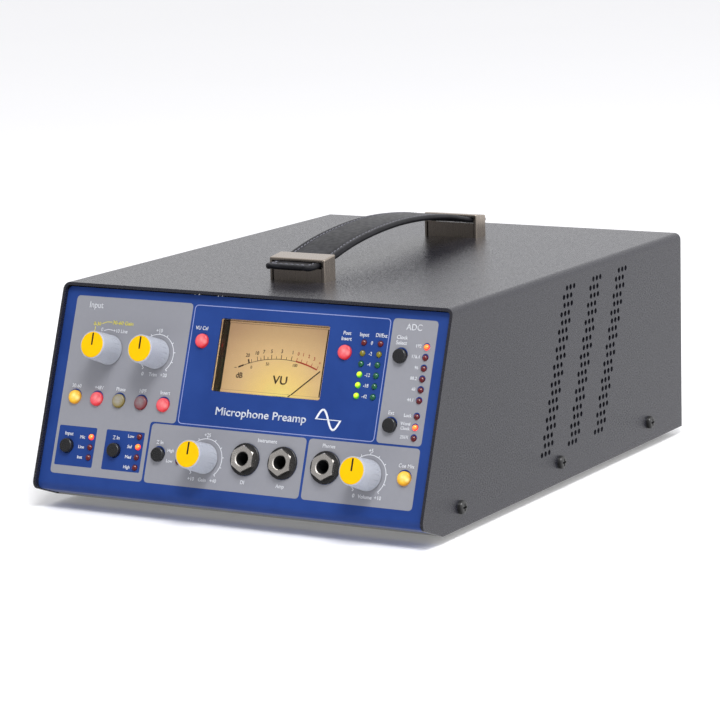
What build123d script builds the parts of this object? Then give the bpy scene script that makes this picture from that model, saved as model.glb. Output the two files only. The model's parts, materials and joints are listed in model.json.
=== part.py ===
from build123d import *
from math import atan2, cos, degrees, hypot, pi, radians, sin
import os

os.makedirs("parts", exist_ok=True)

# Desktop microphone preamp with a sloping control panel, millimetres, +Z up.
# The front faces -Y. The model is drawn with Z = 0 on the case's underside and Y = 0 on the
# cover's top front edge, then every piece is moved so that the origin is on the floor
# below the middle of the whole object.

# ---- Case ----
case_width = 220.0
case_height = 105.0
case_depth = 255.0          # along the top, front edge to rear edge
knee_reach = 35.0           # how far the knee stands in front of the top edge
knee_height = 7.3
chin_depth = 20.0           # knee back to where the underside starts
sheet = 1.5                 # cover, tray and rear panel
panel_thickness = 2.0
bend_radius = 3.5
knee_radius = 4.0
panel_recess = 2.4          # panel face behind the cover's slanted edges
chin_recess = 0.5
side_gap = 0.1              # between the cover's walls and what slides in between them
flange_height = 22.0
flange_depth = 12.0
rear_recess = 2.0

# ---- Cover fixings and ventilation ----
cover_screw_front_y = 3.0
cover_screw_rear_inset = 42.0  # from the case's rear edge
cover_screw_z = 10.2
screw_radius = 1.75
screw_clearance = 0.15
head_radius = 3.3
head_height = 2.3
case_screw_length = 6.0
head_rounding = 0.55        # of a screw's head, as a share of its height
cross_width = 0.9
cross_reach = 1.1           # of the cross recess, as a share of the head's radius
cross_floor = 0.35          # and its floor, as a share of the head's height
vent_hole_radius = 1.35
vent_pitch = 4.0
vent_row_pitch = 4.15
vent_rows = 20
vent_band_holes = 3
vent_band_centres = (107.0, 137.0, 167.0)
vent_centre_z = 57.0
vent_stagger = 1.0          # each row is shifted this much, left and right by turns

# ---- Feet ----
foot_radius = 9.0
foot_height = 4.0
foot_inset_x = 32.0
foot_front_y = 22.0
foot_rear_inset = 27.0      # from the case's rear edge
foot_recess_radius = 4.5
foot_recess_depth = 2.4
foot_chamfer = 0.8
foot_screw_spare = 2.0      # of the foot's screw past the tray
foot_screw_head = (3.4, 1.8)  # radius and height

# ---- Handle ----
handle_centre_y = 126.8
handle_span = 158.4         # between the centres of the two end blocks
handle_cap_width = 31.5
handle_cap_depth = 11.0
handle_cap_wall = 1.5
handle_cap_top = 1.3
handle_cap_rounding = 0.7
handle_outer_height = 11.35  # the caps' height on their outer faces
handle_inner_height = 12.7  # and on the faces towards the grip
strap_thickness = 3.0
strap_clearance = 0.2
strap_width = 27.0
strap_front_tail = 10.5     # strap past the front cap
strap_rear_tail = 8.0
strap_rise = 18.4           # highest point of the strap's middle layer above the case
strap_corner_radius = 4.0
block_gap = 0.5
block_top_gap = 0.1
block_screw_radius = 2.0
block_screw_length = 4.0
block_screw_head = (3.6, 2.2)  # radius and height
block_screw_bore = 4.0      # depth of its hole in the block

# ---- Front panel layout: u across from the middle, v up the slope from the knee ----
knob_places = {
    "gain": (-78.4, 71.6),
    "trim": (-50.5, 71.6),
    "instrument": (-14.0, 23.0),
    "volume": (76.3, 23.0),
}
knob_radius = 7.5
knob_tip_radius = 6.9
knob_height = 15.0
knob_lift = 0.6             # gap below the knob
knob_flutes = 18
flute_radius = 1.1
flute_depth = 0.35
flute_margin = 2.1          # plain band of knob above and below the flutes
knob_rounding = 0.4
knob_roof = 4.0             # solid knob above the shaft's socket
knob_nut_headroom = 1.5     # above the nut, inside the knob
cap_radius = 6.3
cap_fit = 0.05
cap_rounding = 0.3
cap_thickness = 1.4
cap_proud = 0.3
shaft_radius = 3.0
shaft_depth = 10.4          # length of shaft behind the panel face
shaft_fit = 0.05
shaft_knob_gap = 0.02       # between a shaft and its knob
shaft_end_gap = 0.2
bush_proud = 0.6            # of the threaded bush past its nut
bush_radius = 4.2
nut_flats = 10.0
nut_height = 2.0
nut_chamfer = 0.5
thread_gap = 0.02           # between a nut and the thread it is on
knob_nut_clearance = 0.5
rotary_switch_radius = 13.0
pot_radius = 8.5
control_depth = 9.5

row_v = 46.9
row_us = {
    "line": -94.3, "high_impedance": -81.3, "phantom": -68.2, "phase": -55.2, "high_pass": -42.2,
}
upper_button_v = 79.8
lit_buttons = {name: (u, row_v) for name, u in row_us.items()}
lit_buttons["meter_calibrate"] = (-25.5, upper_button_v)
lit_buttons["insert"] = (54.5, upper_button_v)
lit_buttons["cue_mix"] = (95.8, 23.2)
plain_buttons = {
    "source": (-94.5, 22.6),
    "impedance": (-66.5, 22.6),
    "direct_input": (-40.6, 22.7),
    "clock": (84.5, 80.0),
    "external_clock": (84.3, 47.2),
}
lit_button_radius = 3.45
plain_button_radius = 3.5
button_clearance = 0.2
lit_button_proud = 1.4
plain_button_proud = 2.2
button_skirt = 5.0          # cap depth behind the panel face
button_travel = 2.0
button_rounding = 0.7
stem_radius = 1.2
stem_end_gap = 0.5          # below a pressed button's stem
stem_floor = 0.3            # of the stem's hole in its switch
switch_gap = 0.4            # between a pressed button and its switch
stem_fit = 0.08
switch_size = 11.0

led_radius = 1.5
led_proud = 1.2
led_clearance = 0.1
led_flange_radius = 1.9
led_flange_gap = 0.1
led_pitch = 5.08
led_flange_thickness = 1.0
led_depth = 3.4             # of the body behind the panel
lead_size = 0.5
lead_spread = 0.8           # each side of the LED's middle
lead_overlap = 0.2          # of the leads into the body
source_leds = (-81.1, 27.9)  # u and v of the top one of each column
impedance_leds = (-53.1, 30.4)
direct_leds = (-28.8, 25.3)
level_led_us = (64.0, 72.9)
upper_led_v = 85.1
rate_led_u = 97.6
clock_led_v = 52.3

jack_places = {"output": (8.75, 24.6), "amplifier": (29.65, 24.6), "phones": (53.25, 24.6)}
jack_bore_radius = 3.2
jack_bush_radius = 4.9
jack_bush_front = 3.0
jack_depth = 27.0
jack_body_width = 15.5
jack_nut_flats = 11.4
jack_lip_thickness = 0.5    # the nut's front lip, over the end of the bush
jack_lip_radius = 3.35
collar_radius = 7.9
collar_height = 1.2
collar_rounding = 0.4
jack_mouth_chamfer = 0.4
jack_end_wall = 2.0

meter_window = (-16.4, 44.5, 56.0, 91.7)
meter_wall = 1.3
meter_clearance = 0.25
window_rounding = 1.0
meter_rounding = 0.8        # of the raised front's corners
meter_back_rounding = 1.0
meter_sunk = 0.2            # window face below the panel face
meter_border = 1.5          # meter body past the window at the sides and the top
meter_skirt = 8.5           # and this much more below it
meter_depth = 30.0
meter_dial_depth = 9.0
dial_thickness = 0.8
dial_notch = 8.0
dial_gap = 0.1              # round the dial and the closing plate
movement_gap = 0.3          # behind the dial
magnet_share = (0.55, 0.8)  # the magnet's width and height as shares of the window's
closing_thickness = 1.5
meter_pivot_drop = 4.4      # needle pivot below the window's lower edge
meter_pivot_offset = 2.4    # and to the right of the window's middle
needle_length = 28.8
needle_width = 0.45
needle_tail = (1.2, 3.4)    # width and length of the counterweight
needle_rest_angle = -48.7   # from straight up, clockwise is negative
needle_hub_radius = 2.4
needle_hub_reach = (0.6, 0.4)  # of the hub behind the dial's face and in front of the needle
needle_lift = 1.0
needle_thickness = 0.4

board_gap = 12.4            # panel face to the front board
board_thickness = 1.6
front_board_low = 14.0      # the board's lower edge above the knee, along the slope
front_board_high = 12.0     # and its upper edge below the top of the slope
front_board_side_gap = 4.0
board_cut_gap = 1.0         # round what comes through the board

# ---- Rear panel: x across, z up ----
rear_jack_xs = (-22.0, 0.0, 22.0, 44.0)
rear_jack_z = 30.0
mic_place = (64.0, 70.0)
output_places = ((30.0, 70.0), (-4.0, 70.0))
connector_plate = (26.0, 31.0)
connector_plate_thickness = 2.0
connector_rounding = 2.0
connector_body_radius = 11.8
connector_depth = 22.0
well_radius = 7.9
plug_radius = 9.6
plug_depth = 14.0
plug_gap = 0.3              # round a plug's sleeve in its groove
sleeve_gap = 0.1            # inside the sleeve
contact_radius = 1.2
contact_circle = 3.6
contact_depth = 11.0        # of the microphone socket's contact holes
pin_setback = 5.5           # of the output pins behind the face
inlet_place = (-82.0, 34.0)
inlet_flange = (31.0, 60.0)
inlet_cavity = (24.6, 17.0)
inlet_depth = 16.0
inlet_plate = 2.0
inlet_body_depth = 22.0
inlet_rounding = 2.5
inlet_rim = 1.7             # flange past the body behind it
inlet_cavity_v = -14.0      # of the cavity from the module's middle
inlet_cavity_chamfer = 4.5
inlet_pins = ((-7.0, -2.0), (7.0, -2.0), (0.0, 2.0))
inlet_pin_size = (2.0, 4.0)
inlet_pin_top = -4.0
rocker_v = 14.5             # of the rocker from the module's middle
rocker_size = (12.6, 19.6)
rocker_angle = 8.0
rocker_well_depth = 9.0
rocker_gap = (0.2, 0.8)     # in its well, at each side and at each end
rocker_tip_height = 3.6
rocker_waist_height = 2.0
rocker_root = (1.2, 3.0)    # taper at each end, and depth below the pin
rocker_pin_radius = 1.2
rocker_pin_reach = 0.7      # past the rocker's sides
rocker_pin_fit = 0.08
card_place = (-43.0, 76.0)
card_size = (38.0, 34.0)
card_plate = 1.2
card_depth = 50.0
card_rounding = 1.0
card_lap = 2.0              # of its bracket over the panel, all round
card_board_rise = 7.0       # of its board above the bracket's lower edge
card_board_inset = 3.0
clock_socket_radius = 4.8
clock_socket_reach = 11.0
clock_socket_spread = 9.0   # each side of the card's middle
clock_socket_v = 6.0
clock_socket_depth = 8.0    # behind the bracket's back
clock_lug = (1.0, 1.0, 3.0)  # radius, reach past the barrel, and place behind its end
clock_nut = (12.5, 2.0)     # across flats, and height
clock_well = (3.4, 1.0)     # radius, and height of its floor
clock_contact = (1.6, 2.0)  # radius, and distance behind the barrel's end
clock_contact_bore = (0.6, 2.0)  # radius, and height of its floor

# ---- Inside ----
standoff_height = 8.0
main_board_size = (130.0, 135.0)
main_board_centre = (38.0, 120.0)
transformer_radius = 34.0
transformer_height = 32.0
transformer_x = -68.0
transformer_rear_gap = 88.0  # from its middle to the rear panel
transformer_pad = 1.0
transformer_hole = 11.0
transformer_rounding = 7.0
clamp_bolt_radius = 2.4
clamp_washer = (20.0, 1.5)  # radius and thickness
clamp_nut_flats = 8.0
clamp_nut_height = 4.0
clamp_bolt_proud = 0.5      # past its nut
capacitor = (5.0, 16.0)     # radius and height
capacitor_row = (-50.0, 50.0)  # of the first one from the board's middle
capacitor_pitch = 14.0
capacitor_count = 4
small_capacitor = (3.2, 11.0)
small_capacitor_row = (-40.0, -45.0)
small_capacitor_pitch = 16.0
small_capacitor_count = 6
heatsink_place = (38.0, 45.0)
fin_overlap = 0.5
heatsink_size = (40.0, 3.0, 24.0)
heatsink_fin = (1.5, 8.0)
heatsink_fins = 7
input_transformer_size = (30.0, 30.0, 24.0)
input_transformer_place = (35.0, -10.0)  # from the board's middle
input_transformer_rounding = 3.0
ribbon_centre_x = 80.0
ribbon_size = (26.0, 1.2)   # width and thickness
ribbon_v = 24.0             # where it leaves the front board, up the slope
ribbon_bend = (14.0, 4.0)   # first fold from there, back and up
ribbon_landing = (4.0, 6.0)  # last fold: from the main board's front edge, and above it
standoff_radius = 3.0
standoff_inset = 5.0        # of the posts from the board's edges
board_screw = (1.5, 5.0, 2.8, 1.8)  # radius, length, head radius and head height
board_hole_radius = 1.7

# ---- Worked out ----
half = case_width / 2
slope = atan2(knee_reach, case_height - knee_height)
slope_length = hypot(knee_reach, case_height - knee_height)
up_slope = Vector(0, sin(slope), cos(slope))
outward = Vector(0, -cos(slope), sin(slope))
knee = Vector(0, -knee_reach, knee_height)
chin_end_y = chin_depth - knee_reach
inner_half = half - sheet - side_gap
rear_y = case_depth - rear_recess
cover_screw_rear_y = case_depth - cover_screw_rear_inset
cover_screw_ys = (cover_screw_front_y, (cover_screw_front_y + cover_screw_rear_y) / 2, cover_screw_rear_y)
transformer_place = (transformer_x, rear_y - transformer_rear_gap)
panel_plane = Plane(origin=knee - outward * panel_recess, x_dir=(1, 0, 0), z_dir=outward)
rear_plane = Plane(origin=(0, rear_y, 0), x_dir=(-1, 0, 0), z_dir=(0, 1, 0))
front_reach = -(knee + up_slope * knob_places["volume"][1]).Y
front_reach += (knob_height + cap_proud + knob_lift - panel_recess) * cos(slope)
front_reach += cap_radius * sin(slope)
middle_y = (rear_y + clock_socket_reach - front_reach) / 2
to_origin = Location((0, -middle_y, foot_height))


def save(name, shape):
    """Moves one piece, or a group of like pieces, to the shared origin and writes it."""
    solids = shape.solids() if hasattr(shape, "solids") else ShapeList(shape).solids()
    moved = [solid.moved(to_origin) for solid in solids]
    group = moved[0] if len(moved) == 1 else Compound(children=moved)
    group.label = name
    export_step(group, f"parts/{name}.step")


def front(shape, u, v):
    """Places a piece drawn about the panel's face at u, v on the sloping panel."""
    return panel_plane.location * Pos(u, v, 0) * shape


def rear(shape, x, z):
    """Places a piece drawn about the rear panel's face at x, z."""
    return rear_plane.location * Pos(-x, z, 0) * shape


def rod(radius, low, high):
    """A round bar along Z between two heights."""
    return Pos(0, 0, (low + high) / 2) * Cylinder(radius, high - low)


def bar(width, height, low, high):
    """A rectangular bar along Z between two heights."""
    return Pos(0, 0, (low + high) / 2) * Box(width, height, high - low)


def hexagon(flats, low, high):
    """A hexagonal bar with two corners on the v axis."""
    corner = flats / 2 / cos(pi / 6)
    return Pos(0, 0, low) * extrude(RegularPolygon(corner, 6, rotation=90), high - low)


def prism(points, width):
    """Extrudes a side profile, given as (y, z) points, evenly to both sides of X = 0."""
    return extrude(Plane.YZ * make_face(Polyline(*points, close=True)), width / 2, both=True)


def bent_sheet(outer, thickness, width):
    """A folded sheet: the outer (y, z) line and its mitred copy one thickness to its right."""
    normals = []
    for (y0, z0), (y1, z1) in zip(outer, outer[1:]):
        length = hypot(y1 - y0, z1 - z0)
        normals.append(((z1 - z0) / length, -(y1 - y0) / length))
    inner = []
    for index, (y, z) in enumerate(outer):
        before = normals[max(index - 1, 0)]
        after = normals[min(index, len(normals) - 1)]
        share = thickness / (1 + before[0] * after[0] + before[1] * after[1])
        inner.append((y + share * (before[0] + after[0]), z + share * (before[1] + after[1])))
    return prism(list(outer) + inner[::-1], width)


def edges_at(shape, y, z, near=0.01):
    """The edges along X that pass through one (y, z) point of the side profile."""
    along = shape.edges().filter_by(Axis.X)
    return [edge for edge in along if hypot(edge.center().Y - y, edge.center().Z - z) < near]


# ---- Cover ----
def vent_points():
    """Hole centres (y, z) of the slanted bands, which lean as the front panel does."""
    lean = knee_reach / (case_height - knee_height)
    for centre in vent_band_centres:
        for row in range(vent_rows):
            rise = (row - (vent_rows - 1) / 2) * vent_row_pitch
            shift = vent_stagger * (1 if row % 2 else -1)
            for column in range(vent_band_holes):
                across = (column - (vent_band_holes - 1) / 2) * vent_pitch
                yield centre + rise * lean + across + shift, vent_centre_z + rise


def side_outline():
    """The case's side profile."""
    return [
        (0, case_height), (case_depth, case_height), (case_depth, 0), (chin_end_y, 0),
        (-knee_reach, knee_height),
    ]


def block_screw_places():
    """The four handle screws, two in each block."""
    across = handle_cap_width / 4
    for side in (-1, 1):
        for x in (-across, across):
            yield x, handle_centre_y + side * handle_span / 2


def top_cover():
    outer = prism(side_outline(), case_width)
    outer = fillet(edges_at(outer, -knee_reach, knee_height), knee_radius)
    long_edges = outer.edges().filter_by(Axis.Y).group_by(Axis.Z)[-1]
    outer = fillet(long_edges, bend_radius)
    tall = 2 * (case_height - sheet)
    hollow = Pos(0, case_depth / 2, 0) * Box(case_width - 2 * sheet, 2 * case_depth, tall)
    hollow = fillet(hollow.edges().filter_by(Axis.Y).group_by(Axis.Z)[-1], bend_radius - sheet)
    shell = outer - hollow
    holes = []
    for y, z in vent_points():
        holes.append(Location((0, y, z), (0, 90, 0)) * Cylinder(vent_hole_radius, case_width + 4))
    screw_hole = Cylinder(screw_radius + screw_clearance, case_width + 4)
    for y in cover_screw_ys:
        holes.append(Location((0, y, cover_screw_z), (0, 90, 0)) * screw_hole)
    block_hole = Cylinder(block_screw_radius + screw_clearance, 4 * sheet)
    for x, y in block_screw_places():
        holes.append(Pos(x, y, case_height) * block_hole)
    return shell - holes


# ---- Front panel ----
def slope_point(along, back):
    """A (y, z) point of the slanted face: along it from the knee, and back from its line."""
    point = knee + up_slope * along - outward * back
    return point.Y, point.Z


def panel_outline():
    """The front panel's outer line: down the slope, round the knee, and under the tray."""
    chin_run = hypot(chin_depth, knee_height)
    chin_along = Vector(0, chin_depth, -knee_height) / chin_run
    chin_inward = Vector(0, knee_height, chin_depth) / chin_run
    start = knee + chin_inward * chin_recess
    depth = panel_recess - (start - knee).dot(-outward)
    corner = start + chin_along * (depth / chin_along.dot(-outward))
    floor_along = (sheet - corner.Z) / chin_along.Z
    heel = corner + chin_along * floor_along
    top = slope_point(slope_length - (sheet + side_gap) / cos(slope), panel_recess)
    return [top, (corner.Y, corner.Z), (heel.Y, heel.Z), (heel.Y + flange_depth, heel.Z)]


def led_columns():
    """LED centres by colour: name of the colour to a list of (u, v)."""
    def column(top, steps):
        return [(top[0], top[1] - step * led_pitch) for step in steps]

    red = column(source_leds, range(3)) + column(impedance_leds, range(4)) + column(direct_leds, range(2))
    yellow, green = [], []
    for u in level_led_us:
        red += column((u, upper_led_v), range(1))
        yellow += column((u, upper_led_v), range(1, 2))
        green += column((u, upper_led_v), range(2, 6))
    red += column((rate_led_u, upper_led_v), range(6)) + column((rate_led_u, clock_led_v), range(3))
    return {"red": red, "yellow": yellow, "green": green}


def panel_holes():
    """The cutting tools for everything that comes through the front panel."""
    low, high = -3 * panel_thickness, panel_thickness
    tools = []
    for u, v in knob_places.values():
        tools.append(front(rod(bush_radius + screw_clearance, low, high), u, v))
    for u, v in lit_buttons.values():
        tools.append(front(rod(lit_button_radius + button_clearance, low, high), u, v))
    for u, v in plain_buttons.values():
        tools.append(front(rod(plain_button_radius + button_clearance, low, high), u, v))
    for places in led_columns().values():
        for u, v in places:
            tools.append(front(rod(led_radius + led_clearance, low, high), u, v))
    for u, v in jack_places.values():
        tools.append(front(rod(jack_bush_radius + screw_clearance, low, high), u, v))
    left, right, bottom, top = meter_window
    window = bar(right - left, top - bottom, low, high)
    window = fillet(window.edges().filter_by(Axis.Z), window_rounding)
    tools.append(front(window, (left + right) / 2, (bottom + top) / 2))
    return tools


def round_top_corners(plate):
    """Rounds a plate's two top corners to clear the bend inside the cover."""
    top = plate.bounding_box().max.Z
    short = [edge for edge in plate.edges() if abs(abs(edge.center().X) - inner_half) < 0.01]
    corners = [edge for edge in short if edge.length < 2 * panel_thickness and edge.center().Z > top - 2]
    return fillet(corners, bend_radius - sheet + 2 * side_gap)


def front_panel():
    outline = panel_outline()
    sheet_part = bent_sheet(outline, -panel_thickness, 2 * inner_half)
    sheet_part = fillet(edges_at(sheet_part, *outline[1]), knee_radius)
    return round_top_corners(sheet_part) - panel_holes()


# ---- Tray and rear panel ----
def tray_screws():
    """Places of the cover screws in the tray: side (-1 or 1), y, z."""
    return [(side, y, cover_screw_z) for side in (-1, 1) for y in cover_screw_ys]


def foot_places():
    """The four feet."""
    x = half - foot_inset_x
    return [(sx * x, y) for sx in (-1, 1) for y in (foot_front_y, case_depth - foot_rear_inset)]


def standoff_places():
    """The main board's four posts."""
    width, depth = main_board_size
    x, y = main_board_centre
    across, along = width / 2 - standoff_inset, depth / 2 - standoff_inset
    return [(x + sx * across, y + sy * along) for sx in (-1, 1) for sy in (-1, 1)]


def base_tray():
    back = rear_y - sheet
    tray = Pos(0, (chin_end_y + back) / 2, sheet / 2) * Box(2 * inner_half, back - chin_end_y, sheet)
    wall_front = chin_end_y + flange_depth + panel_thickness
    wall_back = rear_y - flange_depth - sheet
    wall = Box(sheet, wall_back - wall_front, flange_height - sheet)
    for side in (-1, 1):
        x = side * (inner_half - sheet / 2)
        tray += Pos(x, (wall_front + wall_back) / 2, (flange_height + sheet) / 2) * wall
    holes = []
    for side, y, z in tray_screws():
        tool = Cylinder(screw_radius + screw_clearance, 4 * sheet)
        holes.append(Location((side * inner_half, y, z), (0, 90, 0)) * tool)
    tap = Cylinder(screw_radius + screw_clearance, 4 * sheet)
    for x, y in foot_places() + standoff_places():
        holes.append(Pos(x, y, 0) * tap)
    holes.append(Pos(*transformer_place, 0) * Cylinder(clamp_bolt_radius + screw_clearance, 4 * sheet))
    return tray - holes


def rear_cutouts():
    """The cutting tools for everything that comes through the rear panel."""
    low, high = -3 * sheet, sheet
    tools = []
    for x in rear_jack_xs:
        tools.append(rear(rod(jack_bush_radius + screw_clearance, low, high), x, rear_jack_z))
    for x, z in (mic_place,) + output_places:
        tools.append(rear(rod(connector_body_radius + screw_clearance, low, high), x, z))
    width, height = inlet_flange
    trim = 2 * inlet_rim - 2 * button_clearance
    tools.append(rear(bar(width - trim, height - trim, low, high), *inlet_place))
    width, height = card_size
    tools.append(rear(bar(width - 2 * card_lap, height - 2 * card_lap, low, high), *card_place))
    return tools


def rear_panel():
    top = case_height - sheet - side_gap
    outline = [(rear_y, top), (rear_y, sheet), (rear_y - flange_depth, sheet)]
    return round_top_corners(bent_sheet(outline, sheet, 2 * inner_half)) - rear_cutouts()


# ---- Screws and feet ----
def pan_screw(radius, length, head, height):
    """A pan-head screw along Z: the head stands above Z = 0 and has a cross recess."""
    body = rod(head, 0, height)
    body = fillet(body.edges().group_by(Axis.Z)[-1], height * head_rounding)
    slot = bar(head * cross_reach, cross_width, height * cross_floor, height + 1)
    slot += bar(cross_width, head * cross_reach, height * cross_floor, height + 1)
    return body - slot + rod(radius, -length, 0)


def case_screws():
    screws = []
    for side, y, z in tray_screws():
        screw = pan_screw(screw_radius, case_screw_length, head_radius, head_height)
        screws.append(Location((side * half, y, z), (0, side * 90, 0)) * screw)
    return screws


def foot():
    body = rod(foot_radius, -foot_height, 0)
    body = chamfer(body.edges().group_by(Axis.Z)[0], foot_chamfer)
    body -= rod(foot_recess_radius, -foot_height, -foot_height + foot_recess_depth)
    return body - rod(screw_radius + screw_clearance, -foot_height, 0)


def inner_fasteners():
    """Foot, board and handle screws, the board's posts and the ring transformer's clamp."""
    screws = [transformer_clamp()]
    board_z = main_board_z()
    for x, y in standoff_places():
        post = rod(standoff_radius, sheet, board_z)
        screws.append(Pos(x, y, 0) * (post - rod(screw_radius, 0, board_z + 1)))
    for x, y in foot_places():
        length = foot_height - foot_recess_depth + sheet + foot_screw_spare
        screw = pan_screw(screw_radius, length, *foot_screw_head)
        screws.append(Location((x, y, -foot_height + foot_recess_depth), (180, 0, 0)) * screw)
    for x, y in standoff_places():
        screws.append(Pos(x, y, board_z + board_thickness) * pan_screw(*board_screw))
    for x, y in block_screw_places():
        screw = pan_screw(block_screw_radius, block_screw_length, *block_screw_head)
        screws.append(Location((x, y, case_height - sheet), (180, 0, 0)) * screw)
    return screws


# ---- Handle ----
def handle_ends():
    """Centre Y of each handle end, with the direction that points away from the grip."""
    return ((handle_centre_y - handle_span / 2, -1), (handle_centre_y + handle_span / 2, 1))


def cap_top_line(centre, away, drop):
    """The caps' sloping top line, lowered by drop: outer and inner (y, z) points."""
    outer = (centre + away * handle_cap_depth / 2, case_height + handle_outer_height - drop)
    inner = (centre - away * handle_cap_depth / 2, case_height + handle_inner_height - drop)
    return outer, inner


def handle_cap(centre, away):
    """A cap open below and along the strap, with its top falling away from the grip."""
    outer, inner = cap_top_line(centre, away, 0)
    body = prism([outer, inner, (inner[0], case_height), (outer[0], case_height)], handle_cap_width)
    rounded = body.edges().filter_by(lambda edge: edge.center().Z > case_height + 0.1)
    body = fillet(rounded, handle_cap_rounding)
    low_outer, low_inner = cap_top_line(centre, away, handle_cap_top)
    run = low_inner[0] - low_outer[0]
    rise = low_inner[1] - low_outer[1]
    ahead = (low_inner[0] + run, low_inner[1] + rise)
    behind = (low_outer[0] - run, low_outer[1] - rise)
    slot = prism([behind, ahead, (ahead[0], 0), (behind[0], 0)], handle_cap_width - 2 * handle_cap_wall)
    return body - slot


def strap_line():
    """The strap's middle layer, as (y, z) points from the front tail to the rear one."""
    middle = handle_cap_top + strap_clearance + strap_thickness / 2
    front_end, rear_end = handle_ends()
    front_outer, front_inner = cap_top_line(*front_end, middle)
    rear_outer, rear_inner = cap_top_line(*rear_end, middle)
    front_tail = (front_outer[0] - strap_front_tail, front_outer[1])
    rear_tail = (rear_outer[0] + strap_rear_tail, rear_outer[1] - strap_clearance)
    arch = [strap_arch_point(front_inner, rear_inner, share) for share in (0.1, 0.3, 0.5, 0.7, 0.9)]
    return [front_tail, front_outer, front_inner, *arch, rear_inner, rear_outer, rear_tail]


def strap_arch_point(start, end, share):
    """A (y, z) point of the arch between the caps' inner faces."""
    base = start[1] + (end[1] - start[1]) * share
    rise = case_height + strap_rise - (start[1] + end[1]) / 2
    return start[0] + (end[0] - start[0]) * share, base + rise * 4 * share * (1 - share)


def handle_strap():
    line = [Vector(0, y, z) for y, z in strap_line()]
    path = Spline(*line)
    steps = 48
    upper, lower = [], []
    for index in range(steps + 1):
        share = index / steps
        point = path.position_at(share)
        along = path.tangent_at(share)
        normal = Vector(0, -along.Z, along.Y)
        upper.append(point + normal * strap_thickness / 2)
        lower.append(point - normal * strap_thickness / 2)
    top_edge = Spline(*upper)
    low_edge = Spline(*lower)
    ends = Line(top_edge @ 0, low_edge @ 0), Line(top_edge @ 1, low_edge @ 1)
    strap = extrude(make_face([top_edge, low_edge, *ends]), strap_width / 2, both=True)
    return fillet([edge for edge in strap.edges() if corner_edge(edge)], strap_corner_radius)


def corner_edge(edge):
    """True for the four short upright edges at the strap's corners."""
    return abs(abs(edge.center().X) - strap_width / 2) < 0.01 and edge.length < 2 * strap_thickness


def handle_block(centre, away):
    drop = handle_cap_top + 2 * strap_clearance + strap_thickness + block_top_gap
    outer, inner = cap_top_line(centre, away, drop)
    outer = (outer[0] - away * block_gap, outer[1])
    inner = (inner[0] + away * block_gap, inner[1])
    width = handle_cap_width - 2 * handle_cap_wall - 2 * block_gap
    block = prism([outer, inner, (inner[0], case_height), (outer[0], case_height)], width)
    for x, y in block_screw_places():
        block -= Pos(x, y, case_height) * Cylinder(block_screw_radius, 2 * block_screw_bore)
    return block


# ---- Knobs ----
def knob_body():
    low, high = knob_lift, knob_lift + knob_height
    bottom = Pos(0, 0, low) * Circle(knob_radius)
    top = Pos(0, 0, high) * Circle(knob_tip_radius)
    body = loft([bottom, top])
    body = fillet(body.edges().group_by(Axis.Z)[-1], knob_rounding)
    reach = knob_radius + flute_radius - flute_depth
    flute = rod(flute_radius, low + flute_margin, high - flute_margin)
    for index in range(knob_flutes):
        angle = 2 * pi * index / knob_flutes
        body -= Pos(reach * cos(angle), reach * sin(angle), 0) * flute
    body -= rod(cap_radius + cap_fit, high - cap_thickness + cap_proud, high + 1)
    nut_room = nut_flats / 2 / cos(pi / 6) + knob_nut_clearance
    body -= rod(nut_room, low - 1, nut_height + knob_nut_headroom)
    return body - rod(shaft_radius, low - 1, high - knob_roof)


def knob_cap():
    disc = rod(cap_radius, knob_lift + knob_height - cap_thickness + cap_proud,
               knob_lift + knob_height + cap_proud)
    return fillet(disc.edges().group_by(Axis.Z)[-1], cap_rounding)


def knob_shaft():
    end = knob_lift + knob_height - knob_roof - shaft_end_gap
    return rod(shaft_radius - shaft_knob_gap, -shaft_depth, end)


def bushing(radius, depth, body):
    """A control behind the panel: its body, its threaded bushing and the bore for the shaft."""
    bottom = -panel_thickness - depth
    control = body + rod(radius, -panel_thickness, nut_height + bush_proud)
    return control - rod(shaft_radius + shaft_fit, bottom - 1, nut_height + 1)


def gain_switch():
    """The stepped gain switch, a round wafer body with its bushing."""
    body = rod(rotary_switch_radius, -panel_thickness - control_depth, -panel_thickness)
    return bushing(bush_radius, control_depth, body)


def pot():
    body = rod(pot_radius, -panel_thickness - control_depth, -panel_thickness)
    return bushing(bush_radius, control_depth, body)


def crowned_hexagon(flats, low, high):
    """A hexagonal bar whose front corners are turned off."""
    corner = flats / 2 / cos(pi / 6)
    crown = rod(corner, low, high)
    crown = chamfer(crown.edges().group_by(Axis.Z)[-1], nut_chamfer)
    return hexagon(flats, low, high) & crown


def control_nut():
    hole = rod(bush_radius + thread_gap, -1, nut_height + 1)
    return crowned_hexagon(nut_flats, 0, nut_height) - hole


def jack_nut():
    """A nut whose front lip covers the end of the jack's bush."""
    top = jack_bush_front + jack_lip_thickness
    body = crowned_hexagon(jack_nut_flats, collar_height, top)
    body -= rod(jack_bush_radius + thread_gap, collar_height - 1, jack_bush_front)
    body -= rod(jack_lip_radius, collar_height, top + 1)
    mouth = [edge for edge in body.edges().filter_by(GeomType.CIRCLE).group_by(Axis.Z)[-1]
             if edge.radius < jack_bush_radius]
    return chamfer(mouth, jack_mouth_chamfer)


# ---- Buttons ----
def button(radius, proud):
    """A push cap with its stem, both above and behind the panel face at Z = 0."""
    cap = rod(radius, -button_skirt, proud)
    cap = fillet(cap.edges().group_by(Axis.Z)[-1], button_rounding)
    return cap + rod(stem_radius, -board_gap + button_travel + stem_end_gap, -button_skirt)


def push_switch():
    top = -button_skirt - button_travel - switch_gap
    body = bar(switch_size, switch_size, -board_gap, top)
    return body - rod(stem_radius + stem_fit, -board_gap + stem_floor, top + 1)


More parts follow.
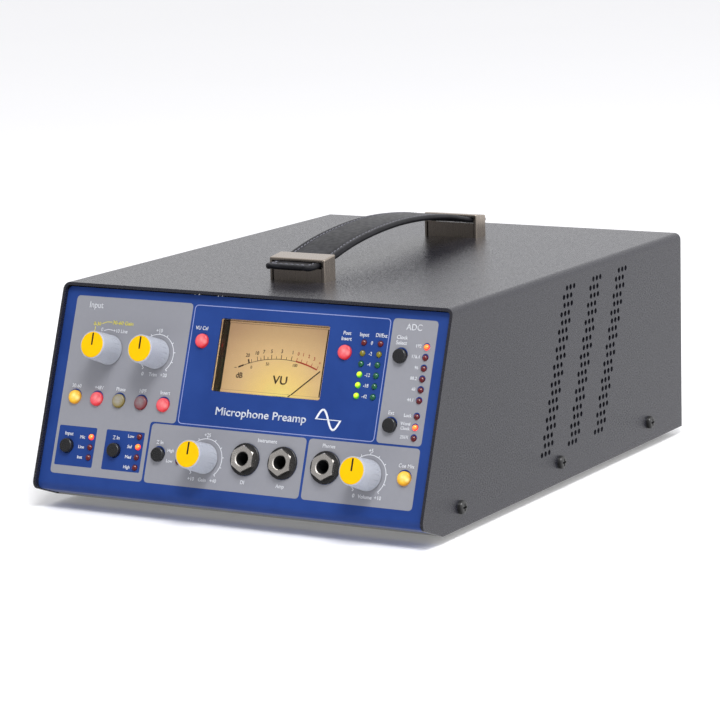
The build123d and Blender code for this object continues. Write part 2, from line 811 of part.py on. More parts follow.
# ---- LEDs ----
def led():
    dome = rod(led_radius, -panel_thickness - led_depth, led_proud)
    dome = fillet(dome.edges().group_by(Axis.Z)[-1], led_radius - 0.1)
    flange = -panel_thickness - led_flange_gap
    dome += rod(led_flange_radius, flange - led_flange_thickness, flange)
    lead = bar(lead_size, lead_size, -board_gap, -panel_thickness - led_depth + lead_overlap)
    for side in (-1, 1):
        dome += Pos(side * lead_spread, 0, 0) * lead
    return dome


# ---- Jack sockets ----
def jack(panel):
    """A quarter-inch socket: square body behind the panel, bush in front, bore right along it."""
    body = bar(jack_body_width, jack_body_width, -panel - jack_depth, -panel)
    bush_low, bush_high = -panel, jack_bush_front
    body += rod(jack_bush_radius, bush_low, bush_high)
    return body - rod(jack_bore_radius, -panel - jack_depth + jack_end_wall, bush_high + 1)


def jack_collar():
    ring = rod(collar_radius, 0, collar_height)
    ring = fillet(ring.edges().group_by(Axis.Z)[-1], collar_rounding)
    return ring - rod(jack_bush_radius + screw_clearance, -1, collar_height + 1)


# ---- Meter ----
def meter_centre():
    left, right, bottom, top = meter_window
    return (left + right) / 2, (bottom + top) / 2


def window_size(inset):
    """Width and height of the window, reduced all round by inset."""
    left, right, bottom, top = meter_window
    return right - left - 2 * inset, top - bottom - 2 * inset


def meter_box(inset, low, high):
    """The meter's body behind the panel, which reaches below the window to hold the pivot."""
    width, height = window_size(-meter_border)
    box = bar(width - 2 * inset, height + meter_skirt - 2 * inset, low, high)
    return Pos(0, -meter_skirt / 2, 0) * box


def meter_case():
    """The clear case: a raised front in the window, and a box behind the panel."""
    raised = bar(*window_size(meter_clearance), -panel_thickness, -meter_sunk)
    raised = fillet(raised.edges().filter_by(Axis.Z), meter_rounding)
    box = meter_box(0, -meter_depth, -panel_thickness)
    box = fillet(box.edges().filter_by(Axis.Z), meter_back_rounding)
    inner = meter_box(meter_wall, -meter_depth - 1, -panel_thickness - meter_wall)
    pocket_top = -meter_sunk - meter_wall
    pocket = bar(*window_size(meter_clearance + meter_wall), -2 * panel_thickness, pocket_top)
    return (raised + box) - inner - pocket


def meter_dial():
    """The printed plate, notched at its foot for the moving coil."""
    low = -meter_dial_depth - dial_thickness
    plate = meter_box(meter_wall + dial_gap, low, -meter_dial_depth)
    return plate - pivot_place() * bar(dial_notch, dial_notch, low - 1, 0)


def meter_movement():
    """Magnet block and the rear closing plate behind the dial."""
    high = -meter_dial_depth - dial_thickness - movement_gap
    closing = meter_box(meter_wall + dial_gap, -meter_depth, -meter_depth + closing_thickness)
    width, height = window_size(0)
    wide, tall = magnet_share
    return closing + bar(width * wide, height * tall, -meter_depth, high)


def pivot_place():
    """The needle's pivot from the middle of the window."""
    return Pos(meter_pivot_offset, -window_size(0)[1] / 2 - meter_pivot_drop, 0)


def meter_needle():
    """The needle at rest against its right-hand stop, with its hub."""
    low = -meter_dial_depth + needle_lift
    high = low + needle_thickness
    arm = Pos(0, needle_length / 2, 0) * bar(needle_width, needle_length, low, high)
    tail_width, tail_length = needle_tail
    tail = Pos(0, -tail_length / 2, 0) * bar(tail_width, tail_length, low, high)
    behind, ahead = needle_hub_reach
    hub = rod(needle_hub_radius, low - needle_lift - behind, high + ahead)
    return pivot_place() * (Rot(0, 0, needle_rest_angle) * (arm + tail + hub))


# ---- Boards and what stands on them ----
def front_board():
    width = 2 * (inner_half - front_board_side_gap)
    height = slope_length - front_board_low - front_board_high
    board = bar(width, height, -board_gap - board_thickness, -board_gap)
    board = front(board, 0, front_board_low + height / 2)
    cuts = [front(meter_box(-board_cut_gap, -2 * board_gap, 0), *meter_centre())]
    jack_room = jack_body_width + board_cut_gap
    for u, v in jack_places.values():
        cuts.append(front(bar(jack_room, jack_room, -2 * board_gap, 0), u, v))
    for u, v in knob_places.values():
        cuts.append(front(rod(shaft_radius + board_cut_gap, -2 * board_gap, 0), u, v))
    return board - cuts


def main_board_z():
    return sheet + standoff_height


def main_board():
    width, depth = main_board_size
    x, y = main_board_centre
    board = Pos(x, y, main_board_z() + board_thickness / 2) * Box(width, depth, board_thickness)
    for px, py in standoff_places():
        board -= Pos(px, py, main_board_z()) * Cylinder(board_hole_radius, 4 * board_thickness)
    return board


def board_components():
    """Electrolytic capacitors and the regulator's heatsink on the main board."""
    x, y = main_board_centre
    top = main_board_z() + board_thickness
    parts = []
    for (radius, height), (start, row), pitch, count in (
        (capacitor, capacitor_row, capacitor_pitch, capacitor_count),
        (small_capacitor, small_capacitor_row, small_capacitor_pitch, small_capacitor_count),
    ):
        for index in range(count):
            parts.append(Pos(x + start + index * pitch, y + row, 0) * rod(radius, top, top + height))
    width, depth, height = heatsink_size
    fin_width, fin_depth = heatsink_fin
    sink = bar(width, depth, top, top + height)
    for index in range(heatsink_fins):
        fin_x = (index / (heatsink_fins - 1) - 0.5) * (width - 2 * fin_width)
        fin = bar(fin_width, fin_depth, top, top + height)
        sink += Pos(fin_x, (depth + fin_depth) / 2 - fin_overlap, 0) * fin
    across, along = heatsink_place
    return parts + [Pos(x + across, y + along, 0) * sink]


def input_transformer():
    x, y = main_board_centre
    long, wide, tall = input_transformer_size
    top = main_board_z() + board_thickness
    across, along = input_transformer_place
    can = Pos(x + across, y + along, 0) * bar(long, wide, top, top + tall)
    return fillet(can.edges().filter_by(Axis.Z), input_transformer_rounding)


def mains_transformer():
    x, y = transformer_place
    base = sheet + transformer_pad
    ring = rod(transformer_radius, base, base + transformer_height)
    ring = fillet(ring.edges().filter_by(GeomType.CIRCLE), transformer_rounding)
    ring -= rod(transformer_hole, base - 1, base + transformer_height + 1)
    return Pos(x, y, 0) * ring


def transformer_clamp():
    """The washer, bolt and nut that hold the ring transformer down."""
    x, y = transformer_place
    radius, thickness = clamp_washer
    low = sheet + transformer_pad + transformer_height
    high = low + thickness
    washer = rod(radius, low, high)
    bolt = rod(clamp_bolt_radius, 0, high + clamp_nut_height + clamp_bolt_proud)
    bolt += hexagon(clamp_nut_flats, high, high + clamp_nut_height)
    return Pos(x, y, 0) * (washer + bolt)


def ribbon_cable():
    """The flat cable that joins the front board to the main board, folded once."""
    width, thickness = ribbon_size
    start_y, start_z = slope_point(ribbon_v, panel_recess + board_gap + board_thickness)
    board_y = main_board_centre[1] - main_board_size[1] / 2
    top = main_board_z() + board_thickness
    back, up = ribbon_bend
    inset, drop = ribbon_landing
    end_y = board_y + inset
    outline = [(start_y, start_z), (start_y + back, start_z + up), (end_y, top + drop), (end_y, top)]
    return Pos(ribbon_centre_x, 0, 0) * bent_sheet(outline, thickness, width)


# ---- Rear connectors ----
def connector_face():
    width, height = connector_plate
    plate = bar(width, height, 0, connector_plate_thickness)
    plate = fillet(plate.edges().filter_by(Axis.Z), connector_rounding)
    return plate + rod(connector_body_radius, -connector_depth, connector_plate_thickness)


def contact_places():
    """The three contacts of a microphone or output socket."""
    angles = [radians(angle) for angle in (90, 210, 330)]
    return [(contact_circle * cos(angle), contact_circle * sin(angle)) for angle in angles]


def mic_socket():
    """Three-hole microphone socket with its ring groove for the plug's sleeve."""
    body = connector_face()
    face = connector_plate_thickness
    groove = rod(plug_radius + plug_gap, face - plug_depth, face + 1)
    body -= groove - rod(well_radius - sleeve_gap, face - plug_depth - 1, face + 2)
    for x, y in contact_places():
        body -= Pos(x, y, 0) * rod(contact_radius + screw_clearance, face - contact_depth, face + 1)
    return body


def output_socket():
    """Three-pin line output socket: a round well with three pins set back in it."""
    body = connector_face()
    face = connector_plate_thickness
    body -= rod(well_radius, face - plug_depth, face + 1)
    for x, y in contact_places():
        body += Pos(x, y, 0) * rod(contact_radius, face - plug_depth - 1, face - pin_setback)
    return body


def rocker_pin(gap):
    """The rocker's pivot pin, larger all round by gap."""
    length = rocker_size[0] + 2 * (rocker_pin_reach + gap)
    return Rot(0, 90, 0) * Cylinder(rocker_pin_radius + gap, length)


def mains_inlet():
    """Mains inlet with its three pins, and the window that holds the rocker."""
    width, height = inlet_flange
    body = bar(width, height, 0, inlet_plate)
    body = fillet(body.edges().filter_by(Axis.Z), inlet_rounding)
    body += bar(width - 2 * inlet_rim, height - 2 * inlet_rim, -inlet_body_depth, 0)
    floor = inlet_plate - inlet_depth
    cavity = Pos(0, inlet_cavity_v, 0) * bar(*inlet_cavity, floor, inlet_plate + 1)
    body -= chamfer(cavity.edges().filter_by(Axis.Z).group_by(Axis.Y)[-1], inlet_cavity_chamfer)
    for x, y in inlet_pins:
        body += Pos(x, inlet_cavity_v + y, 0) * bar(*inlet_pin_size, floor - 1, inlet_pin_top)
    wide, tall = rocker_size
    side_gap_here, end_gap = rocker_gap
    well = bar(wide + 2 * side_gap_here, tall + 2 * end_gap, -rocker_well_depth, inlet_plate + 1)
    return body - Pos(0, rocker_v, 0) * (well + rocker_pin(rocker_pin_fit))


def power_rocker():
    """The mains rocker, tipped to its on side about the pin in the panel's plane."""
    wide, tall = rocker_size
    end = tall / 2
    taper, root = rocker_root
    bow = [(-end, rocker_tip_height), (0, rocker_waist_height), (end, rocker_tip_height)]
    bow += [(end - taper, -root), (-end + taper, -root)]
    return Rot(rocker_angle, 0, 0) * (prism(bow, wide) + rocker_pin(0))


def clock_socket_places():
    """The two clock sockets from the middle of the card."""
    return [(side * clock_socket_spread, clock_socket_v) for side in (-1, 1)]


def digital_card():
    """The converter card's bracket with its circuit board behind it."""
    width, height = card_size
    plate = bar(width, height, 0, card_plate)
    plate = fillet(plate.edges().filter_by(Axis.Z), card_rounding)
    for x, y in clock_socket_places():
        plate -= Pos(x, y, 0) * rod(clock_socket_radius + screw_clearance, -1, card_plate + 1)
    board = bar(width - 2 * card_board_inset, board_thickness, -card_depth, 0)
    return plate + Pos(0, -height / 2 + card_board_rise, 0) * board


def clock_socket():
    """A bayonet clock socket: barrel, two lugs, nut and the centre contact."""
    barrel = rod(clock_socket_radius, -clock_socket_depth, clock_socket_reach)
    lug_radius, lug_reach, lug_setback = clock_lug
    lug = Cylinder(lug_radius, 2 * (clock_socket_radius + lug_reach))
    barrel += Location((0, 0, clock_socket_reach - lug_setback), (0, 90, 0)) * lug
    flats, nut_thickness = clock_nut
    barrel += hexagon(flats, card_plate, card_plate + nut_thickness)
    well, well_floor = clock_well
    barrel -= rod(well, well_floor, clock_socket_reach + 1)
    radius, setback = clock_contact
    bore, bore_floor = clock_contact_bore
    contact = rod(radius, 0, clock_socket_reach - setback) - rod(bore, bore_floor, clock_socket_reach)
    return barrel + contact


# ---- Build every piece ----
def build():
    save("top_cover", top_cover())
    save("front_panel", front_panel())
    save("base_tray", base_tray())
    save("rear_panel", rear_panel())
    save("case_screws", Compound(children=case_screws()))
    save("inner_fasteners", Compound(children=inner_fasteners()))
    save("feet", Compound(children=[Pos(x, y, 0) * foot() for x, y in foot_places()]))

    save("handle_strap", handle_strap())
    save("handle_caps", Compound(children=[handle_cap(*end) for end in handle_ends()]))
    save("handle_blocks", Compound(children=[handle_block(*end) for end in handle_ends()]))

    for name, (u, v) in knob_places.items():
        save(f"{name}_knob", front(knob_body(), u, v))
        save(f"{name}_knob_cap", front(knob_cap(), u, v))
        save(f"{name}_shaft", front(knob_shaft(), u, v))
    gain_u, gain_v = knob_places["gain"]
    save("gain_switch", front(gain_switch(), gain_u, gain_v))
    pots = [place for name, place in knob_places.items() if name != "gain"]
    save("potentiometers", Compound(children=[front(pot(), u, v) for u, v in pots]))

    for name, (u, v) in lit_buttons.items():
        save(f"{name}_button", front(button(lit_button_radius, lit_button_proud), u, v))
    for name, (u, v) in plain_buttons.items():
        save(f"{name}_button", front(button(plain_button_radius, plain_button_proud), u, v))
    button_places = list(lit_buttons.values()) + list(plain_buttons.values())
    save("push_switches", Compound(children=[front(push_switch(), u, v) for u, v in button_places]))

    for colour, places in led_columns().items():
        save(f"{colour}_leds", Compound(children=[front(led(), u, v) for u, v in places]))

    jacks = [front(jack(panel_thickness), u, v) for u, v in jack_places.values()]
    jacks += [rear(jack(sheet), x, rear_jack_z) for x in rear_jack_xs]
    save("jack_sockets", Compound(children=jacks))
    collars = [front(jack_collar(), u, v) for u, v in jack_places.values()]
    collars += [rear(jack_collar(), x, rear_jack_z) for x in rear_jack_xs]
    save("jack_collars", Compound(children=collars))
    nuts = [front(jack_nut(), u, v) for u, v in jack_places.values()]
    nuts += [rear(jack_nut(), x, rear_jack_z) for x in rear_jack_xs]
    nuts += [front(control_nut(), u, v) for u, v in knob_places.values()]
    save("panel_nuts", Compound(children=nuts))

    u, v = meter_centre()
    save("meter_case", front(meter_case(), u, v))
    save("meter_dial", front(meter_dial(), u, v))
    save("meter_needle", front(meter_needle(), u, v))
    save("meter_movement", front(meter_movement(), u, v))

    save("front_board", front_board())
    save("main_board", main_board())
    save("board_components", Compound(children=board_components()))
    save("mains_transformer", mains_transformer())
    save("input_transformer", input_transformer())
    save("ribbon_cable", ribbon_cable())

    save("mic_socket", rear(mic_socket(), *mic_place))
    save("output_sockets", Compound(children=[rear(output_socket(), x, z) for x, z in output_places]))
    inlet_x, inlet_z = inlet_place
    save("mains_inlet", rear(mains_inlet(), inlet_x, inlet_z))
    save("power_rocker", rear(power_rocker(), inlet_x, inlet_z + rocker_v))
    save("digital_card", rear(digital_card(), *card_place))
    card_x, card_z = card_place
    sockets = [rear(clock_socket(), card_x - x, card_z + y) for x, y in clock_socket_places()]
    save("clock_sockets", Compound(children=sockets))


build()
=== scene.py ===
import json
from math import cos, pi, radians, sin

import bmesh
import bpy
from mathutils import Matrix, Vector


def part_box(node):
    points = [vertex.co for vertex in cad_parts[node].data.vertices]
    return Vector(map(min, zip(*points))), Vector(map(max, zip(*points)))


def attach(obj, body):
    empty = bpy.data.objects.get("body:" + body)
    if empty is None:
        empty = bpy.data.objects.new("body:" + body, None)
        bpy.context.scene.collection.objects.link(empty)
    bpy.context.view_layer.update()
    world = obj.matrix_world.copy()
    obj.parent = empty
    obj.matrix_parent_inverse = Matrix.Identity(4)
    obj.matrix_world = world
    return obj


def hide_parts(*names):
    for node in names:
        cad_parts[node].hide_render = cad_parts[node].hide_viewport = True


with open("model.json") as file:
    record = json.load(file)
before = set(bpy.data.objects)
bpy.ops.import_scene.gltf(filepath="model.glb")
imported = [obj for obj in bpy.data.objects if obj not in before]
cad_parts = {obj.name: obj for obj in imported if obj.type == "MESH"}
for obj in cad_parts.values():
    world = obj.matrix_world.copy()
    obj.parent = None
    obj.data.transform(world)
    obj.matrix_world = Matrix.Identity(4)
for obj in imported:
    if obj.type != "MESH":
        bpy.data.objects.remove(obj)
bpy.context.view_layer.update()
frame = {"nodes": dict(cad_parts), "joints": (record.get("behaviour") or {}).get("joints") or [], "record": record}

MM = 0.001


def tone(red, green, blue):
    """A colour given as on a screen, 0 to 255, turned into the linear one Blender works with."""
    parts = [part / 255 for part in (red, green, blue)]
    return tuple(part / 12.92 if part <= 0.04045 else ((part + 0.055) / 1.055) ** 2.4 for part in parts)


def shaded(colour, share):
    """A colour made darker by a share."""
    return tuple(part * share for part in colour)


joints = {joint["name"]: joint for joint in frame["joints"]}

# ---- The sloping panel's own coordinates: u across, v up the slope, lift off its face, in mm ----
KNOB_ROW = 71.6              # v of the two upper knobs
outward = Vector(joints["gain_turn"]["axis"]).normalized()
across = Vector((1, 0, 0))
upward = outward.cross(across)
upper_knob = Vector(joints["gain_turn"]["pos_m"])
panel_origin = Vector((0, upper_knob.y, upper_knob.z)) - upward * KNOB_ROW * MM
PRINT_LIFT = 0.02            # gap under a print, so that it doesn't share the panel's face
PRINT_THICKNESS = 0.03
OVERPRINT_LIFT = 2 * PRINT_LIFT + PRINT_THICKNESS        # of what is printed over the grey fields


def panel_matrix(lift=0.0):
    """Turns (u, v, height) in mm into the shared frame, in metres."""
    turn = Matrix((across, upward, outward)).transposed().to_4x4()
    return Matrix.Translation(panel_origin + outward * lift * MM) @ turn @ Matrix.Scale(MM, 4)


def panel_spot(point):
    """The (u, v) of a point of the shared frame."""
    along = (Vector(point) - panel_origin) / MM
    return along.dot(across), along.dot(upward)


def islands(node):
    """The separate solids of a node, each as the list of its corner points."""
    mesh = frame["nodes"][node].data
    work = bmesh.new()
    work.from_mesh(mesh)
    bmesh.ops.remove_doubles(work, verts=work.verts, dist=1e-6)
    left = set(work.verts)
    groups = []
    while left:
        queue = [left.pop()]
        group = []
        while queue:
            corner = queue.pop()
            group.append(corner.co.copy())
            for edge in corner.link_edges:
                other = edge.other_vert(corner)
                if other in left:
                    left.remove(other)
                    queue.append(other)
        groups.append(group)
    work.free()
    return groups


def middle(points):
    """The middle of the box round some points."""
    low = Vector([min(p[i] for p in points) for i in range(3)])
    high = Vector([max(p[i] for p in points) for i in range(3)])
    return (low + high) / 2


def node_spot(node):
    """The (u, v) of a round piece that stands square on the panel."""
    low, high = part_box(node)
    return panel_spot((low + high) / 2)


def node_top(node):
    """How far a node reaches off the panel's face, in mm."""
    return max((corner.co - panel_origin).dot(outward) for corner in frame["nodes"][node].data.vertices) / MM


def node_spots(node):
    """The (u, v) of each solid of a group, from left to right and from the top down."""
    spots = [panel_spot(middle(points)) for points in islands(node)]
    return sorted(spots, key=lambda spot: (round(spot[0]), -spot[1]))


# ---- Materials ----
class Wire:
    """A value inside a material. Python's operators on it add the Math nodes."""

    def __init__(self, paint, socket):
        self.paint = paint
        self.socket = socket

    def math(self, operation, *others):
        return self.paint.node("ShaderNodeMath", {"operation": operation}, (self, *others))

    def __add__(self, other):
        return self.math("ADD", other)

    __radd__ = __add__

    def __mul__(self, other):
        return self.math("MULTIPLY", other)

    __rmul__ = __mul__

    def __sub__(self, other):
        return self.math("SUBTRACT", other)

    def __rsub__(self, other):
        return self.paint.node("ShaderNodeMath", {"operation": "SUBTRACT"}, (other, self))

    def __truediv__(self, other):
        return self.math("DIVIDE", other)

    def __pow__(self, other):
        return self.math("POWER", other)


class Paint:
    """A material with one Principled shader, built from expressions."""

    def __init__(self, name, **constants):
        self.material = bpy.data.materials.new(name)
        self.material.use_nodes = True
        self.tree = self.material.node_tree
        self.shader = next(n for n in self.tree.nodes if n.type == "BSDF_PRINCIPLED")
        self.set(**constants)

    def set(self, **values):
        """Sets or links sockets of the shader: base_color is Base Color, and so on."""
        for key, value in values.items():
            self.feed(self.shader.inputs[SOCKETS[key]], value)
        return self

    def feed(self, socket, value):
        if isinstance(value, Wire):
            self.tree.links.new(value.socket, socket)
        elif hasattr(value, "__len__") and socket.type == "RGBA":
            socket.default_value = (*value, 1)[:4]
        else:
            socket.default_value = value

    def node(self, kind, settings=None, inputs=(), output=0):
        """Adds any node: its settings first, then the values or wires of its sockets."""
        node = self.tree.nodes.new(kind)
        for key, value in (settings or {}).items():
            if key == "stops":
                self.set_stops(node.color_ramp, value)
            else:
                setattr(node, key, value)
        pairs = inputs.items() if isinstance(inputs, dict) else enumerate(inputs)
        for key, value in pairs:
            self.feed(node.inputs[key], value)
        return Wire(self, node.outputs[output])

    @staticmethod
    def set_stops(ramp, stops):
        while len(ramp.elements) < len(stops):
            ramp.elements.new(0.5)
        for element, (place, colour) in zip(ramp.elements, stops):
            element.position = place
            element.color = (*colour, 1)[:4]

    def place(self, stretch=None):
        """Where a point is on its own piece, stretched if wanted."""
        spot = self.node("ShaderNodeTexCoord", output="Object")
        if stretch is None:
            return spot
        return self.node("ShaderNodeVectorMath", {"operation": "MULTIPLY"}, (spot, stretch))

    def noise(self, scale, detail=3.0, stretch=None):
        inputs = {"Vector": self.place(stretch), "Scale": scale, "Detail": detail}
        return self.node("ShaderNodeTexNoise", None, inputs)

    def cells(self, scale):
        inputs = {"Vector": self.place(), "Scale": scale}
        return self.node("ShaderNodeTexVoronoi", None, inputs, "Distance")

    def ramp(self, value, *stops):
        return self.node("ShaderNodeValToRGB", {"stops": stops}, {"Fac": value}, "Color")

    def spread(self, value, low, high, to_low=0.0, to_high=1.0):
        """Carries a value from one range to another, held at the ends."""
        inputs = {"Value": value, "From Min": low, "From Max": high, "To Min": to_low, "To Max": to_high}
        return self.node("ShaderNodeMapRange", None, inputs)

    def between(self, noise, to_low=0.0, to_high=1.0):
        """Carries the range that a noise mostly keeps to another one."""
        return self.spread(noise, 0.3, 0.7, to_low, to_high)

    def blend(self, share, first, second):
        """A colour between two colours."""
        node = self.tree.nodes.new("ShaderNodeMix")
        node.data_type = "RGBA"
        self.feed(node.inputs["Factor"], share)
        self.feed(node.inputs[6], first)
        self.feed(node.inputs[7], second)
        return Wire(self, node.outputs[2])

    def bump(self, height, depth, strength=1.0):
        inputs = {"Height": height, "Distance": depth, "Strength": strength}
        return self.node("ShaderNodeBump", None, inputs)

    def distance(self, point):
        """How far a point of the piece is from a fixed point, in metres."""
        settings = {"operation": "DISTANCE"}
        return self.node("ShaderNodeVectorMath", settings, (self.place(), tuple(point)), "Value")


SOCKETS = {
    "base_color": "Base Color", "roughness": "Roughness", "metallic": "Metallic", "ior": "IOR",
    "alpha": "Alpha", "normal": "Normal", "coat": "Coat Weight", "coat_roughness": "Coat Roughness",
    "specular": "Specular IOR Level", "emission": "Emission Color", "glow": "Emission Strength",
    "transmission": "Transmission Weight", "sheen": "Sheen Weight", "subsurface": "Subsurface Weight",
}


def powder_coat():
    """Black powder coat: a fine pebbled grain that glitters faintly where it is seen flat."""
    paint = Paint("black_powder_coat", specular=0.62)
    pebble = paint.noise(1300, 3)
    speckle = paint.noise(3600, 2)
    cloud = paint.noise(26, 3)
    shade = paint.blend(paint.spread(speckle, 0.42, 0.62), tone(20, 20, 26), tone(44, 44, 54))
    paint.set(
        base_color=paint.blend(paint.between(cloud), shade, tone(31, 31, 39)),
        roughness=paint.between(pebble, 0.20, 0.34),
        normal=paint.bump(pebble * 0.6 + speckle * 0.4, 0.0003, 0.55),
    )
    return paint.material


def blue_paint():
    """Satin blue panel paint, slightly uneven."""
    paint = Paint("blue_paint", specular=0.22)
    cloud = paint.noise(40, 4)
    grain = paint.noise(3200, 2)
    paint.set(
        base_color=paint.blend(paint.spread(cloud, 0.35, 0.65), tone(29, 58, 124), tone(35, 65, 133)),
        roughness=paint.between(grain, 0.40, 0.50),
        normal=paint.bump(grain, 0.00004, 0.3),
    )
    return paint.material


def printed(name, colour, roughness=0.45):
    """Screen-printed ink, slightly mottled."""
    paint = Paint(name, specular=0.4)
    mottle = paint.noise(420, 5)
    paint.set(
        base_color=paint.blend(mottle, shaded(colour, 0.93), colour),
        roughness=paint.between(mottle, roughness - 0.05, roughness + 0.05),
        normal=paint.bump(paint.noise(2400, 2), 0.00003, 0.3),
    )
    return paint.material


def brushed_metal(name, colour, roughness, stretch, depth=0.00004):
    """Metal with fine brush lines along one axis."""
    paint = Paint(name, metallic=1.0)
    lines = paint.noise(1.0, 2, stretch)
    cloud = paint.noise(120, 3)
    paint.set(
        base_color=paint.blend(lines, shaded(colour, 0.88), colour),
        roughness=paint.between(lines * 0.7 + cloud * 0.3, roughness - 0.07, roughness + 0.07),
        normal=paint.bump(lines, depth, 0.25),
    )
    return paint.material


def plated(name, colour, roughness):
    """Bright plating with faint handling marks."""
    paint = Paint(name, metallic=1.0)
    marks = paint.noise(700, 4)
    paint.set(
        roughness=paint.spread(marks, 0.35, 0.75, roughness, roughness + 0.12),
        base_color=paint.blend(marks, colour, shaded(colour, 0.9)),
    )
    return paint.material


def moulded(name, colour, roughness, grain_depth=0.00003, shine=0.5):
    """Moulded plastic with a faint mould grain."""
    paint = Paint(name, specular=shine)
    grain = paint.noise(2200, 3)
    cloud = paint.noise(150, 3)
    paint.set(
        base_color=paint.blend(cloud, shaded(colour, 0.88), colour),
        roughness=paint.between(grain, roughness - 0.05, roughness + 0.06),
        normal=paint.bump(grain, grain_depth, 0.4),
    )
    return paint.material


def rubber():
    """Matt black rubber."""
    paint = Paint("rubber", specular=0.3)
    grain = paint.noise(1500, 3)
    paint.set(
        base_color=paint.blend(grain, (0.012, 0.012, 0.012), (0.03, 0.03, 0.03)),
        roughness=paint.between(grain, 0.75, 0.9),
        normal=paint.bump(grain, 0.0001, 0.5),
    )
    return paint.material


def leather():
    """Black pigmented leather: pebbled grain with fine creases, its tone and shine varying in patches."""
    paint = Paint("black_leather", specular=0.20)
    pebbles = paint.cells(1700)
    folds = paint.noise(420, 5)
    creases = paint.noise(1.0, 4, (160, 900, 160))
    worn = paint.noise(70, 3)
    paint.set(
        base_color=paint.blend(paint.spread(worn, 0.35, 0.65), tone(15, 15, 18), tone(27, 27, 32)),
        roughness=paint.between(folds, 0.36, 0.50),
        normal=paint.bump(pebbles * 0.5 + folds * 0.3 + creases * 0.2, 0.00014, 0.4),
    )
    return paint.material


def thread():
    """Dark waxed thread with a visible twist."""
    paint = Paint("strap_thread", specular=0.5)
    twist = paint.noise(3000, 2)
    paint.set(
        base_color=paint.blend(paint.spread(twist, 0.35, 0.65), tone(62, 62, 70), tone(128, 128, 138)),
        roughness=paint.between(twist, 0.35, 0.55),
    )
    return paint.material


def lens(name, centre, colours, reach, hot_spot, glow):
    """A ribbed translucent lens: colours from the middle to the rim, and a bright spot if lit."""
    paint = Paint(name, roughness=0.28, specular=0.5)
    stops = [(index / (len(colours) - 1), colour) for index, colour in enumerate(colours)]
    shade = paint.ramp(paint.spread(paint.distance(centre), 0.0, reach), *stops)
    mottle = paint.noise(620, 3)
    darker = paint.blend(0.22, shade, colours[-1])
    shade = paint.blend(paint.spread(mottle, 0.42, 0.56), darker, shade)
    body = shade
    if glow:
        near = paint.spread(paint.distance(hot_spot), 0.3 * MM, 1.6 * MM, 1.0, 0.0)
        shade = paint.blend(near * 0.7, shade, colours[0])
        body = paint.blend(0.55, shade, (0, 0, 0))
        paint.set(emission=shade, glow=glow)
    paint.set(base_color=body, normal=paint.bump(mottle, 0.00008, 0.4))
    return paint.material


def led_lens(name, dark, core, rim, lit_points, glow):
    """Tinted LED lenses of one colour; the lit ones have a hot core and a coloured rim."""
    paint = Paint(name, roughness=0.10, specular=0.7, coat=0.5)
    cloud = paint.noise(700, 2)
    colour = paint.blend(paint.between(cloud), dark, shaded(dark, 0.55))
    light = (0, 0, 0)
    for point in lit_points:
        away = paint.distance(point)
        near = paint.spread(away, 2.2 * MM, 2.4 * MM, 1.0, 0.0)
        fire = paint.ramp(paint.spread(away, 0.4 * MM, 1.8 * MM), (0.0, core), (0.35, core), (0.8, rim))
        colour = paint.blend(near, colour, fire)
        light = paint.blend(near, light, fire)
    paint.set(base_color=colour)
    if lit_points:
        paint.set(emission=light, glow=glow)
    return paint.material


def clear_plastic():
    """Clear moulding of the meter, with a slight warm tint in its thickness."""
    paint = Paint("clear_plastic", transmission=1.0, ior=1.22, specular=0.4)
    haze = paint.noise(300, 2)
    paint.set(
        base_color=paint.blend(haze, (0.97, 0.90, 0.87), (0.99, 0.94, 0.92)),
        roughness=paint.between(haze, 0.0, 0.02),
    )
    return paint.material


def painted_glow_dial(foot):
    """Warm dial card with the meter lamp's glow painted on as colour and emission, brightest at its foot where the
    lamp is.
    """
    paint = Paint("dial_card", roughness=0.6, specular=0.2)
    # Painted light: the lamp's glow, fading up the dial from its foot, goes into both the base colour and the
    # emission.
    away = paint.spread(paint.distance(foot), 3 * MM, 46 * MM)
    shade = paint.ramp(
        away, (0.0, tone(255, 240, 142)), (0.22, tone(250, 222, 140)), (0.5, tone(230, 200, 146)),
        (1.0, tone(192, 160, 124)),
    )
    fibre = paint.noise(1500, 3)
    paint.set(
        base_color=paint.blend(0.75, shade, (0.0, 0.0, 0.0)),
        emission=paint.blend(fibre * 0.12, shade, (0.3, 0.2, 0.1)),
        glow=0.74,
    )
    return paint.material


def circuit_board():
    """Green board lacquer over a faint pattern of tracks."""
    paint = Paint("circuit_board", specular=0.5, roughness=0.35)
    tracks = paint.noise(260, 2)
    paint.set(base_color=paint.blend(tracks, (0.006, 0.06, 0.025), (0.015, 0.11, 0.045)))
    return paint.material


def wound_tape():
    """Amber tape wound round a transformer."""
    paint = Paint("transformer_wrap", specular=0.5, roughness=0.4)
    bands = paint.noise(180, 2)
    paint.set(base_color=paint.blend(bands, (0.40, 0.22, 0.03), (0.55, 0.33, 0.06)))
    return paint.material


def dress(material, *nodes):
    """Gives CAD nodes a material."""
    for node in nodes:
        mesh = frame["nodes"][node].data
        mesh.materials.clear()
        mesh.materials.append(material)


# ---- Making pieces ----
def linked(name, data):
    """A new object of the scene with this data."""
    item = bpy.data.objects.new(name, data)
    bpy.context.scene.collection.objects.link(item)
    return item


def finish_piece(piece, body, material):
    """Gives a piece its material and body."""
    piece.data.materials.clear()
    piece.data.materials.append(material)
    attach(piece, body)
    return piece


def mesh_piece(name, vertices, faces, smooth=False):
    """An object from points and faces, with its faces turned outward."""
    mesh = bpy.data.meshes.new(name)
    mesh.from_pydata([tuple(v) for v in vertices], [], faces)
    mesh.validate()
    work = bmesh.new()
    work.from_mesh(mesh)
    bmesh.ops.recalc_face_normals(work, faces=work.faces)
    work.to_mesh(mesh)
    work.free()
    for polygon in mesh.polygons:
        polygon.use_smooth = smooth
    return linked(name, mesh)


def polar(u, v, radius, angle):
    """The point at a distance and an angle, in radians, from another."""
    return u + radius * cos(angle), v + radius * sin(angle)


